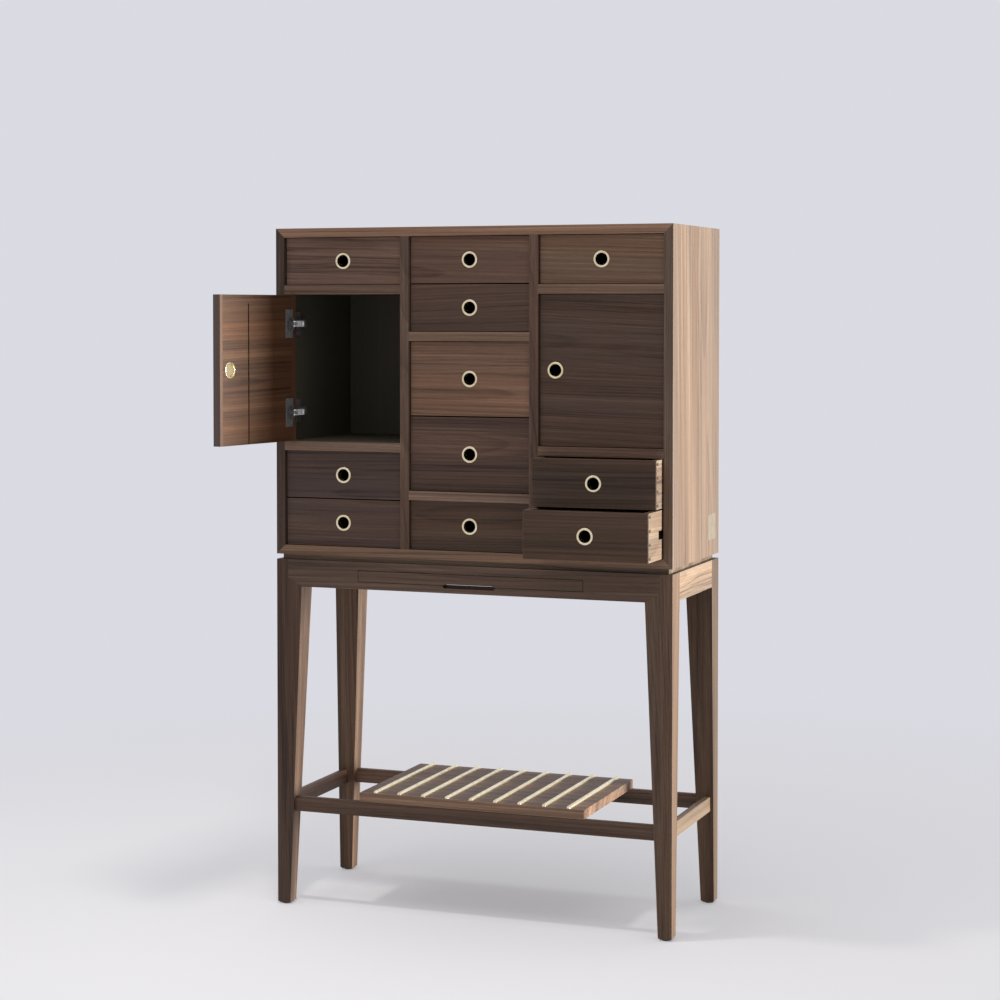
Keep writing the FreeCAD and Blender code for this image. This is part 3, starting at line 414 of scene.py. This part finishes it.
# The plane of the case's front edges; the inner faces of its sides, and of its bottom and top; the
# back panel's inner face. The painted shade inside begins and is full at two depths behind the front
# edges; then the colour of that painted shade.
FRONT = -0.1815
CASE_IN = ((-0.4365, 0.4365), (0.8005, 1.4815))
BACK_PANEL = 0.1725
PAINTED_SHADE_DEPTHS = (0.022, 0.027)
INSIDE_PAINTED_SHADE = (0.108, 0.100, 0.074, 1.0)
HAIR = 0.0005


def walnut_shaded_inside(name, along, pith, shift, tone):
    """Walnut with oil on its outer faces and front edge, and black-brown painted shade inside the case.

    Inside is behind the fronts, ahead of the back panel and between the inner faces of the case boards.
    """
    material, shader, place = new_finish("walnut_" + name)
    colour, height = walnut_colour(in_the_log(place, along, pith_beside(name, pith), shift), tone)
    x, y, z = place.split()
    inside = (y - FRONT).between(*PAINTED_SHADE_DEPTHS) * (y < BACK_PANEL + HAIR)
    for way, (start, end) in zip((x, z), CASE_IN):
        inside = inside * (way > start - HAIR) * (way < end + HAIR)
    # Painted shade: inside the case the wood is darkened almost to black, as the compartments lie in
    # shadow.
    with_painted_shade = (0.88 * inside).mix(colour, INSIDE_PAINTED_SHADE)
    return oil(material, shader, with_painted_shade, height)


# The top's strong tone is mostly painted light, pale as a front edge lit from above. The left side is
# painted darker, partly as painted shade, and the right side's slight lift is painted light.
CASE_PLANKS = {
    "case_side_left": ("z", (0.30, -0.06, 0), 15.0, (0.49, 0.48, 0.48)),
    "case_side_right": ("z", (-0.30, 0.10, 0), 16.0, (1.03, 1.09, 1.07)),
    "case_top": ("x", (0, 0.10, -0.35), 17.0, (2.30, 2.18, 2.02)),
    "case_bottom": ("x", (0, 0.08, 0.30), 18.0, (1.60, 1.55, 1.40)),
}
for board, (along, pith, shift, tone) in CASE_PLANKS.items():
    dress(board, walnut_shaded_inside(board, along, pith, shift, tone))


# ---------------------------------------------------------------- side plate
# A small plate of tan enamel, 60 by 57 mm with round corners, glued low on the case's right side near
# the back. Nothing is written on it.


def rounded_plate(width, height, radius, thick, sunk=0.0005, bevel=0.0003, corner=12):
    """Three rings of points round a rounded rectangle, and a flat cap at each end.

    Each corner is a quarter circle about a hub that lies the radius in from both sides. The first ring
    is sunk in the wood, the second is the edge's top, and the third lies a bevel further in and up.
    """
    around = 4 * corner
    quarter, step = np.divmod(np.arange(around), corner)
    diagonal = quarter * np.pi / 2 + np.pi / 4
    inset = (width / 2 - radius, height / 2 - radius)
    hub = np.sign(np.stack([np.cos(diagonal), np.sin(diagonal)], -1)) * inset
    turn = (quarter + step / (corner - 1)) * np.pi / 2
    out = np.stack([np.cos(turn), np.sin(turn)], -1)
    rings = [(radius, -sunk), (radius, thick - bevel), (radius - bevel, thick)]
    points = np.array([np.column_stack([np.full(around, rise), hub + size * out]) for size, rise in rings])
    caps = np.arange(3 * around).reshape(3, around)[::2]
    return points, strip_faces(3, around) + [caps[0, ::-1].tolist(), caps[1].tolist()]


PLATE_MIDDLE = (0.4555, 0.123, 0.8445)

material, shader, place = new_finish("plate_enamel")
mottle = place.stretched(60.0, 60.0).cloud(3.0)
tan = mottle.between(0.35, 0.75).mix((0.178, 0.144, 0.112, 1.0), (0.155, 0.124, 0.095, 1.0))
tan.feeds(shader, "Base Color")
(0.6 + 0.15 * mottle).feeds(shader, "Roughness")
shader.inputs["Specular IOR Level"].default_value = 0.15
points, faces = rounded_plate(width=0.060, height=0.057, radius=0.005, thick=0.0006)
new_piece("side_plate", points + PLATE_MIDDLE, faces, material, "cabinet")


# ---------------------------------------------------------------- inner boards
# Two upright dividers and six shelves of walnut, housed into the case. Behind their front edges they
# are painted nearly black, like the back panel: painted shade, so that the compartments look deep.

INNER_PLANKS = {
    "divider_left": ("z", (0.05, 0.20, 0), 19.0, (0.87, 0.88, 0.88)),
    "divider_right": ("z", (-0.06, 0.20, 0), 20.0, (0.88, 0.84, 0.85)),
    "shelves": ("x", (0, 0.3, -0.5), 21.0, (1.41, 1.42, 1.40)),
    "back_panel": ("z", (0.07, 0.25, 0), 22.0, 1.2),
}
for board, (along, pith, shift, tone) in INNER_PLANKS.items():
    dress(board, walnut_shaded_inside(board, along, pith, shift, tone))
dress("drawer_runners", walnut("drawer_runners", "y", (0.3, 0, 0.5), 23.0, 1.3))


# ---------------------------------------------------------------- drawers
# Eleven walnut drawers. Each front is one board with the grain across; the sides run front to back
# and meet it in half-blind dovetails, so that the pins' dark end grain shows on the side.

# Thickness of the boards, wood left ahead of the tails, and the pins: the middle of the outer ones from
# the edges, the wished distance between them, their width at the tip, and the slope of each side.
FRONT_BOARD = 0.018
SIDE_BOARD = 0.013
DOVETAIL_LAP = 0.005
PIN_MARGIN = 0.008
PIN_SPACING = 0.027
PIN_TIP = 0.004
PIN_SLOPE = 0.173
CUT_ENDS = (0.045, 0.027, 0.018, 1.0)

# The side boards are sawn from another log, paler than the fronts: how much further its pith lies out
# and up, how much further along it they come from, and their tone.
SIDE_PITH = (0.4, 0.05)
SIDE_SHIFT = 40
SIDE_TONE = np.array((1.10, 1.22, 1.22))


def drawer_walnut(name, pith, shift, tone):
    """Walnut for a whole drawer: front and back across, sides front to back, pins of the front's wood.

    A point of a side belongs to the front's wood where it is nearer to the middle of a pin than half
    the pin's width, and a pin widens evenly from its tip to the inner face of the front.
    """
    material, shader, place = new_finish("walnut_" + name)
    low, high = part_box(name)
    x, y, z = place.split()
    from_end = (x - low.x).least(high.x - x)
    depth = y - low.y
    up = z - low.z
    reach = high.z - low.z - 2 * PIN_MARGIN
    spacing = reach / round(reach / PIN_SPACING)
    to_pin = abs((up - PIN_MARGIN + spacing / 2) % spacing - spacing / 2)
    pin = to_pin < PIN_TIP / 2 + PIN_SLOPE * (depth - DOVETAIL_LAP)
    corner = (from_end < SIDE_BOARD + 1e-5) * (depth > DOVETAIL_LAP)
    side = corner * (1.0 - pin * (depth < FRONT_BOARD))
    middle = pith_beside(name, pith)
    front_log = in_the_log(place, "x", (0, low.y + FRONT_BOARD / 2 + pith[1], middle[2]), shift)
    side_pith = (middle[0] + SIDE_PITH[0], 0, middle[2] + SIDE_PITH[1])
    side_log = in_the_log(place, "y", side_pith, shift + SIDE_SHIFT)
    colour, height = walnut_colour(side.mix(front_log, side_log, "VECTOR"), tone)
    colour = colour.times(side.mix((1.0, 1.0, 1.0, 1.0), tuple(SIDE_TONE / tone) + (1.0,)))
    across_grain = end_grain(place, "x") * (1.0 - side) + end_grain(place, "y") * side
    colour = (0.85 * across_grain).mix(colour, CUT_ENDS)
    # Painted highlight: a thin paler rim round the face of each drawer front, where its edges catch the
    # light.
    to_edge = from_end.least(up.least(high.z - z))
    edge_highlight = (1.0 - to_edge.between(0.0002, 0.0016)) * (depth < 0.001)
    colour = (0.25 * edge_highlight).mix(colour, tuple(1.3 * c for c in WALNUT[2]) + (1.0,))
    return oil(material, shader, colour, height)


DRAWER_PLANKS = {
    "drawer_left_top": ((0, 0.09, 0.03), 24.0, (1.38, 1.36, 1.40)),
    "drawer_left_middle": ((0, 0.12, -0.03), 25.0, (0.59, 0.61, 0.70)),
    "drawer_left_bottom": ((0, 0.10, 0.05), 26.0, (0.61, 0.60, 0.67)),
    "drawer_centre_top": ((0, 0.11, -0.02), 27.0, (1.07, 0.95, 0.90)),
    "drawer_centre_second": ((0, 0.09, 0.04), 28.0, (0.69, 0.63, 0.62)),
    "drawer_centre_third": ((0, 0.10, -0.04), 29.0, (1.58, 1.45, 1.34)),
    "drawer_centre_fourth": ((0, 0.08, 0.02), 30.0, (0.68, 0.61, 0.61)),
    "drawer_centre_bottom": ((0, 0.11, 0.03), 31.0, (0.60, 0.55, 0.49)),
    "drawer_right_top": ((0, 0.07, -0.01), 32.0, (1.34, 1.29, 1.16)),
    "drawer_right_upper": ((0, 0.12, 0.06), 33.0, (0.52, 0.50, 0.46)),
    "drawer_right_lower": ((0, 0.10, -0.05), 34.0, (0.55, 0.51, 0.45)),
}
for drawer, (pith, shift, tone) in DRAWER_PLANKS.items():
    dress(drawer, drawer_walnut(drawer, pith, shift, tone))


# ---------------------------------------------------------------- finger rings
# Turned and polished brass rings, pressed into round holes in the fronts. A finger in the ring pulls
# the drawer. A door's ring has a second flange on the inner face.

# Radius of the flange, the bore and the sleeve; the flange's thickness; the rounding of the bore's lip
# and of the rim.
RING_EDGE = 0.0178
RING_BORE = 0.0132
RING_SLEEVE = 0.0148
RING_FLANGE = 0.0018
RING_LIP = 0.0007
RING_RIM = 0.0011


def ring_profile(both_sides):
    """Half section of a ring as pairs of radius and depth: rounded lip, flat face, rounded rim, sleeve.

    Lip and rim are quarter circles. A door's ring has the same flange again, mirrored, at its other end.
    """
    turn = np.linspace(0, np.pi / 2, 7)
    lip = np.stack([RING_BORE + RING_LIP * (1 - np.cos(turn)), RING_LIP * (1 - np.sin(turn))], -1)
    face = np.array([(0.0148, 0.0), (0.0160, 0.0)])
    rim = np.stack([RING_EDGE - RING_RIM * (1 - np.sin(turn)), RING_RIM * (1 - np.cos(turn))], -1)
    half = np.concatenate([lip, face, rim, [(RING_EDGE, RING_FLANGE), (RING_SLEEVE, RING_FLANGE)]])
    end = RING_FLANGE + FRONT_BOARD
    if both_sides:
        other = half[::-1] * (1, -1) + (0, end + RING_FLANGE)
        return np.concatenate([half, other])
    return np.concatenate([half, [(RING_SLEEVE, end), (RING_BORE, end)]])


def turned_ring(centre, axis, profile, around=72):
    """Surface of revolution: the profile's radius goes round the axis, and its depth lies along it."""
    axis = np.array(axis, float)
    up = np.array([0.0, 0.0, 1.0])
    across = np.cross(axis, up)
    turn = np.linspace(0, 2 * np.pi, around, endpoint=False)
    spokes = np.cos(turn)[:, None] * across + np.sin(turn)[:, None] * up
    points = centre + profile[None, :, :1] * spokes[:, None, :] + profile[None, :, 1:] * axis
    return points, strip_faces(around, len(profile), closed_rows=True)


ring_brass = brass_finish("ring_brass", (0.95, 0.84, 0.60), 0.28)
for drawer in DRAWER_PLANKS:
    low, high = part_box("ring_" + drawer)
    centre = np.array([(low.x + high.x) / 2, low.y, (low.z + high.z) / 2])
    points, faces = turned_ring(centre, (0, 1, 0), ring_profile(False))
    new_piece("brass_ring_" + drawer, points, faces, ring_brass, drawer, "ring_" + drawer)


# ---------------------------------------------------------------- doors
# Two doors, each a broad walnut board with the grain across and an upright lipping on both edges.
# The left one stands open. A saw kerf down the inner face lets the board move without cupping.

# Where each hinge axis stands and which way its door reaches; how far each door is open, in degrees.
# Then, from the axis, both edges of a door; its face behind the case's front edges; its lippings, the
# veneer over them, and how deep the free edge's greyer skin is.
DOOR_AXIS = {"left": (-0.432, 1), "right": (0.432, -1)}
DOOR_OPEN = {"left": 100.0, "right": 0.0}
HINGE_EDGE = -0.001
FREE_EDGE = 0.271
DOOR_FACE = 0.008
HINGE_LIPPING = 0.016
FREE_LIPPING = 0.009
VENEER = 0.0008
EDGE_SKIN = 0.0004
GREYED = (0.18, 0.155, 0.155, 1.0)
LIPPING_PITH = (0.5, 0.12, 0)
LIPPING_SHIFT = 50


def door_walnut(side, pith, shift, tone):
    """Walnut for a door, in the closed door's own frame: grain across the core, upright in the lippings.

    That frame counts along the door from its axis, back from the case's front edges, and up. It comes
    from turning a place back by the door's angle. The outer face's veneer hides the lippings.
    """
    material, shader, place = new_finish("walnut_door_" + side)
    axis, sense = DOOR_AXIS[side]
    angle = math.radians(DOOR_OPEN[side])
    x, y, z = place.split()
    out = sense * (x - axis)
    back = y - FRONT
    along = math.cos(angle) * out - math.sin(angle) * back
    depth = math.sin(angle) * out + math.cos(angle) * back
    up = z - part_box("door_" + side)[0].z
    closed = place.node("ShaderNodeCombineXYZ", {}, {0: along, 1: depth, 2: up})
    solid = depth > DOOR_FACE + VENEER
    free_lipping = (along > FREE_EDGE - FREE_LIPPING) * solid
    lipping = free_lipping + (along < HINGE_EDGE + HINGE_LIPPING) * solid
    core_log = in_the_log(closed, "x", pith, shift)
    lipping_log = in_the_log(closed, "z", LIPPING_PITH, shift + LIPPING_SHIFT)
    colour, height = walnut_colour(lipping.mix(core_log, lipping_log, "VECTOR"), tone)
    to_joint = abs(along - (HINGE_EDGE + HINGE_LIPPING)).least(abs(along - (FREE_EDGE - FREE_LIPPING)))
    glue_line = (1.0 - to_joint.between(0.0001, 0.0005)) * solid
    colour = (0.5 * glue_line).mix(colour, WALNUT[0] + (1.0,))
    edge = along > FREE_EDGE - EDGE_SKIN
    # Painted highlight: the face of the free lipping is painted a little paler, where its edge catches the
    # light.
    wear_and_highlight = free_lipping * (1.0 - edge)
    colour = (0.12 * wear_and_highlight).mix(colour, tuple(1.1 * c for c in WALNUT[2]) + (1.0,))
    colour = (0.4 * edge).mix(colour, GREYED)
    return oil(material, shader, colour, height)


dress("door_left", door_walnut("left", (0, 0.10, 0.14), 35.0, (0.61, 0.43, 0.29)))
dress("door_right", door_walnut("right", (0, -0.09, 0.20), 36.0, (0.67, 0.64, 0.65)))

door_brass = brass_finish("door_ring_brass", (0.95, 0.82, 0.52), 0.25)
for side in DOOR_AXIS:
    ring, door = "door_ring_" + side, "door_" + side
    low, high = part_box(ring)
    sense = DOOR_AXIS[side][1]
    angle = math.radians(DOOR_OPEN[side])
    inward = np.array([sense * math.sin(angle), math.cos(angle), 0.0])
    middle = np.array([(a + b) / 2 for a, b in zip(low, high)])
    centre = middle - inward * (FRONT_BOARD / 2 + RING_FLANGE)
    points, faces = turned_ring(centre, inward, ring_profile(True))
    new_piece("brass_" + ring, points, faces, door_brass, door, ring)


# ---------------------------------------------------------------- hinges
# Two concealed hinges on each door: a pressed cup and flange in the door, a folded link and a solid
# arm that swing together, and a slotted arm on a mounting plate. Nickel-plated steel.


def nickel_finish(name, bright, metallic):
    """Nickel plate in a lit or a shaded copy: grey metal with faint rolling lines and a few duller spots.

    The plate on the arms, the lit copy, is satin, so that it scatters some light as paint does: painted
    light. The shaded copy is the same plate made dark: painted shade.
    """
    material, shader, place = new_finish(name)
    lines = place.stretched(300.0, 2500.0).cloud(1.0)
    spots = place.stretched(250.0, 250.0).cloud(3.0)
    new, wear_and_highlight = ((grey, grey, 0.985 * grey, 1.0) for grey in (bright, 0.75 * bright))
    spots.between(0.4, 0.8).mix(new, wear_and_highlight).feeds(shader, "Base Color")
    (0.28 + 0.18 * spots + 0.06 * lines).feeds(shader, "Roughness")
    lines.bump(0.1, 0.00005).feeds(shader, "Normal")
    shader.inputs["Metallic"].default_value = metallic
    return material


# Two copies of one nickel plate: the bright one is painted light on the arms and links, the dark one
# painted shade on the cups, the mounting plates and the screws.
nickel = nickel_finish("nickel_painted_light", 1.0, 0.35)
shaded_nickel = nickel_finish("nickel_painted_shade", 0.30, 0.6)
HINGE_PARTS = {
    "door_hinge_cups_left": shaded_nickel,
    "door_hinge_cups_right": shaded_nickel,
    "hinge_arms_left": nickel,
    "hinge_arms_right": nickel,
    "hinge_links_left": nickel,
    "hinge_links_right": nickel,
    "hinge_mounts": shaded_nickel,
}
for hinge_part, plating in HINGE_PARTS.items():
    dress(hinge_part, plating)
    ease(hinge_part, 0.0003)


# ---------------------------------------------------------------- hinge screws
# Countersunk cross-head screws hold the flange to the door and the plate to the case side, and two
# more adjust each arm. Plated steel, driven flush.


def screw_head(centre, outward, across, radius, rise, cuts=14):
    """Domed head on a square grid bent into a disc, less a cross whose arms are two thin bands.

    The height is a dome, one less the square of the distance from the middle, and falls by the depth
    of the cross where either coordinate is small and the point isn't near the rim.
    """
    line = np.linspace(-1, 1, cuts * 2 + 1)
    u, v = np.meshgrid(line, line, indexing="ij")
    flat = np.stack([u * np.sqrt(1 - v * v / 2), v * np.sqrt(1 - u * u / 2)], -1)
    far = (flat ** 2).sum(-1)
    slot = (np.abs(flat).min(-1) < 0.15) & (np.abs(flat).max(-1) < 0.62)
    height = rise * (1 - far) - 0.45 * radius * slot
    centre, outward, across = (np.array(w, float) for w in (centre, outward, across))
    upward = np.cross(outward, across)
    top = centre + radius * (flat[..., :1] * across + flat[..., 1:] * upward) + height[..., None] * outward
    count = len(line)
    rows, columns = np.arange(count - 1)[:, None], np.arange(count - 1)[None, :]
    first = rows * count + columns
    quads = np.stack([first, first + count, first + count + 1, first + 1], -1).reshape(-1, 4)
    edge = np.concatenate([
        np.arange(count - 1) * count,
        (count - 1) * count + np.arange(count - 1),
        np.arange(count - 1, 0, -1) * count + count - 1,
        np.arange(count - 1, 0, -1),
    ])
    skirt = top.reshape(-1, 3)[edge] - 0.0006 * outward
    points = np.concatenate([top.reshape(-1, 3), skirt])
    below = count * count + np.arange(len(edge))
    sides = np.stack([edge, below, np.roll(below, -1), np.roll(edge, -1)], -1)
    return points, quads.tolist() + sides.tolist() + [below.tolist()[::-1]]


def join(screws):
    """The points and faces of several screws made one list of each."""
    starts = np.cumsum([0] + [len(points) for points, faces in screws]).tolist()
    joined = [
        [corner + start for corner in face]
        for start, (points, faces) in zip(starts, screws)
        for face in faces
    ]
    return np.concatenate([points for points, faces in screws]), joined


HINGE_HEIGHTS = (1.096, 1.2905)

# On a shut door, the flange's middle from the door's edge and its face behind the case's front edges.
# Then how far its screws lie over and under its middle, and the radius and rise of their heads.
FLANGE_MIDDLE = 0.0255
FLANGE_FACE = 0.0276
FLANGE_SCREW = 0.0245
FLANGE_HEAD = (0.0036, 0.0007)

# The same for the mounting plate on the case side: its face from the hinge axis, its middle behind the
# case's front edges, its screws and their heads.
PLATE_FACE = -0.001
PLATE_DEPTH = 0.065
PLATE_SCREW = 0.01813
PLATE_HEAD = (0.0036, 0.0008)

# And for the slotted arm on the plate, whose two screws lie one behind the other.
CASE_ARM_FACE = 0.0096
ARM_SCREW_DEPTHS = (0.056, 0.072)
ARM_HEAD = (0.0031, 0.0006)

# All the screw heads take the dark copy of the nickel, painted shade.
case_screws = []
for side, (axis, sense) in DOOR_AXIS.items():
    angle = math.radians(DOOR_OPEN[side])
    ahead = np.array([sense * math.cos(angle), -math.sin(angle), 0.0])
    inward = np.array([sense * math.sin(angle), math.cos(angle), 0.0])
    hinge_line = np.array([axis, FRONT, 0.0])
    flange = hinge_line + ahead * (HINGE_EDGE + FLANGE_MIDDLE) + inward * FLANGE_FACE
    door_screws = []
    for height in HINGE_HEIGHTS:
        for end in (-1, 1):
            spot = flange + (0, 0, height + end * FLANGE_SCREW)
            door_screws.append(screw_head(spot, inward, ahead, *FLANGE_HEAD))
            spot = (axis + sense * PLATE_FACE, FRONT + PLATE_DEPTH, height + end * PLATE_SCREW)
            case_screws.append(screw_head(spot, (sense, 0, 0), (0, 1, 0), *PLATE_HEAD))
        for depth in ARM_SCREW_DEPTHS:
            spot = (axis + sense * CASE_ARM_FACE, FRONT + depth, height)
            case_screws.append(screw_head(spot, (sense, 0, 0), (0, 1, 0), *ARM_HEAD))
    points, faces = join(door_screws)
    new_piece(f"door_screws_{side}", points, faces, shaded_nickel, "door_" + side)
points, faces = join(case_screws)
new_piece("case_screws", points, faces, shaded_nickel, "cabinet")


# ---------------------------------------------------------------- slim drawer
# A shallow drawer hidden in the front apron, cut from the same plank as the apron so that the grain
# runs on across it. It slides on two L-shaped guides and opens by the slot under its edge.


def slim_walnut():
    """The apron's wood on the front, and walnut from another log along the box's sides behind it."""
    material, shader, place = new_finish("walnut_slim_drawer")
    along, pith, shift, tone = APRON_PLANKS["apron_front"]
    middle = pith_beside("apron_front", pith)
    front_log = in_the_log(place, along, middle, shift)
    box_log = in_the_log(place, "y", (0.5, 0, middle[2] + 0.1), shift + 60)
    behind = place.split()[1] - FRONT > FRONT_BOARD
    colour, height = walnut_colour(behind.mix(front_log, box_log, "VECTOR"), tone)
    return oil(material, shader, colour, height)


dress("slim_drawer", slim_walnut())
dress("slim_guides", walnut("slim_guides", "y", (0.5, 0, 0.2), 37.0, 1.1))


# ---------------------------------------------------------------- floor and light
# A plain pale floor that keeps the cabinet's shadow and fades into the air behind it.

# How far the floor reaches, and where it begins and ends to fade, from the middle; the paper's colour,
# its glow and the glow's share; the air behind it; and the even light that comes from all sides.
FLOOR_REACH = 9.0
FLOOR_FADE = (1.1, 3.0)
PAPER = (0.79, 0.785, 0.80, 1.0)
PAPER_GLOW = (0.95, 0.945, 0.99, 1.0)
GLOW_SHARE = 0.3
AIR = (0.704, 0.708, 0.764, 1.0)
AMBIENT = (0.40, 0.40, 0.415, 1.0)


def studio_floor():
    """Flat square of paper that fades into the air with the distance from the middle.

    Seen by the camera or in a polished face, a share of the paper's colour is glow and the rest is lit.
    """
    mesh = bpy.data.meshes.new("floor")
    corners = np.array([(-1, -1, 0), (1, -1, 0), (1, 1, 0), (-1, 1, 0)]) * FLOOR_REACH
    mesh.from_pydata(corners, [], [(0, 1, 2, 3)])
    material, shader, place = new_finish("floor_paper")
    shader.inputs["Base Color"].default_value = PAPER
    shader.inputs["Roughness"].default_value = 0.9
    shader.inputs["Specular IOR Level"].default_value = 0.1
    glow = place.node("ShaderNodeEmission", {}, {"Color": PAPER_GLOW, "Strength": 1.0})
    air = place.node("ShaderNodeEmission", {}, {"Color": AIR, "Strength": 1.0})
    path = place.node("ShaderNodeLightPath")
    seen = (path.part("Is Camera Ray") + path.part("Is Glossy Ray")).least(1.0)
    paper = Signal(shader.outputs[0])
    lit = place.node("ShaderNodeMixShader", {}, {0: GLOW_SHARE * seen, 1: paper, 2: glow})
    distance = place.node("ShaderNodeVectorMath", {"operation": "LENGTH"}, {0: place}, "Value")
    far = distance.between(*FLOOR_FADE)
    out = place.node("ShaderNodeMixShader", {}, {0: far * seen, 1: lit, 2: air})
    out.feeds(material.node_tree.nodes["Material Output"], "Surface")
    mesh.materials.append(material)
    floor = bpy.data.objects.new("floor", mesh)
    bpy.context.scene.collection.objects.link(floor)
    return floor


floor = studio_floor()

world = bpy.data.worlds.new("studio")
bpy.context.scene.world = world
world.use_nodes = True
path = Signal(world.node_tree.nodes.new("ShaderNodeLightPath").outputs["Is Camera Ray"])
seen = (path + path.part("Is Glossy Ray") + path.part("Is Transmission Ray")).least(1.0)
seen.mix(AMBIENT, AIR).feeds(world.node_tree.nodes["Background"], "Color")


def soft_lamp(name, place, target, size, power, colour, floor_rule=None):
    """A flat soft box that faces its target: width and height in metres, power in watts.

    Its floor rule may keep its light to the floor or off the floor.
    """
    lamp = bpy.data.lights.new(name, "AREA")
    lamp.shape = "RECTANGLE"
    lamp.size, lamp.size_y = size
    lamp.energy = power
    lamp.color = colour
    holder = bpy.data.objects.new(name, lamp)
    bpy.context.scene.collection.objects.link(holder)
    holder.visible_camera = False
    holder.location = place
    holder.rotation_euler = (Vector(target) - Vector(place)).to_track_quat("-Z", "Y").to_euler()
    if floor_rule:
        lit = bpy.data.collections.new(name + "_lights")
        lit.objects.link(floor)
        lit.collection_objects[0].light_linking.link_state = floor_rule
        holder.light_linking.receiver_collection = lit


# A strong lamp on the right for the case's side, and one overhead for the fronts. Two more light only
# the floor: a small one that gives the cabinet's shadow its edge, and a large one above it.
soft_lamp(
    "key", place=(5.5, 0.79, 0.75), target=(0.45, 0.0, 0.8), size=(0.95, 1.2),
    power=820.0, colour=(0.98, 1.02, 0.99), floor_rule="EXCLUDE",
)
soft_lamp(
    "fill", place=(0.0, -0.6, 4.5), target=(0.0, 0.0, 0.5), size=(4.0, 4.0),
    power=52.0, colour=(1.0, 1.0, 1.0),
)
soft_lamp(
    "spot", place=(-0.235, -0.611, 2.0), target=(-0.235, -0.61, 0.0), size=(0.15, 0.12),
    power=10.5, colour=(1.0, 0.95, 0.89), floor_rule="INCLUDE",
)
soft_lamp(
    "ceiling", place=(0.0, -0.6, 4.5), target=(0.0, 0.0, 0.5), size=(4.0, 4.0),
    power=62.0, colour=(0.98, 0.985, 1.0), floor_rule="INCLUDE",
)


# ---------------------------------------------------------------- camera
# Eye level at the upper drawers, a long lens, turned about twenty degrees to the left and two degrees
# down. The lens is shifted down too, which takes in the stand and keeps its legs nearly upright.

camera = bpy.data.cameras.new("camera")
camera.lens = 82.948
camera.sensor_width = 36.0
camera.shift_y = -0.11038
camera.clip_end = 60.0
eye = bpy.data.objects.new("camera", camera)
bpy.context.scene.collection.objects.link(eye)
yaw, pitch = math.radians(20.594), math.radians(1.947)
look = Vector((-math.sin(yaw) * math.cos(pitch), math.cos(yaw) * math.cos(pitch), -math.sin(pitch)))
eye.location = (1.7986, -4.7749, 1.3179)
eye.rotation_euler = look.to_track_quat("-Z", "Y").to_euler()
bpy.context.scene.camera = eye
bpy.context.scene.view_settings.view_transform = "Standard"
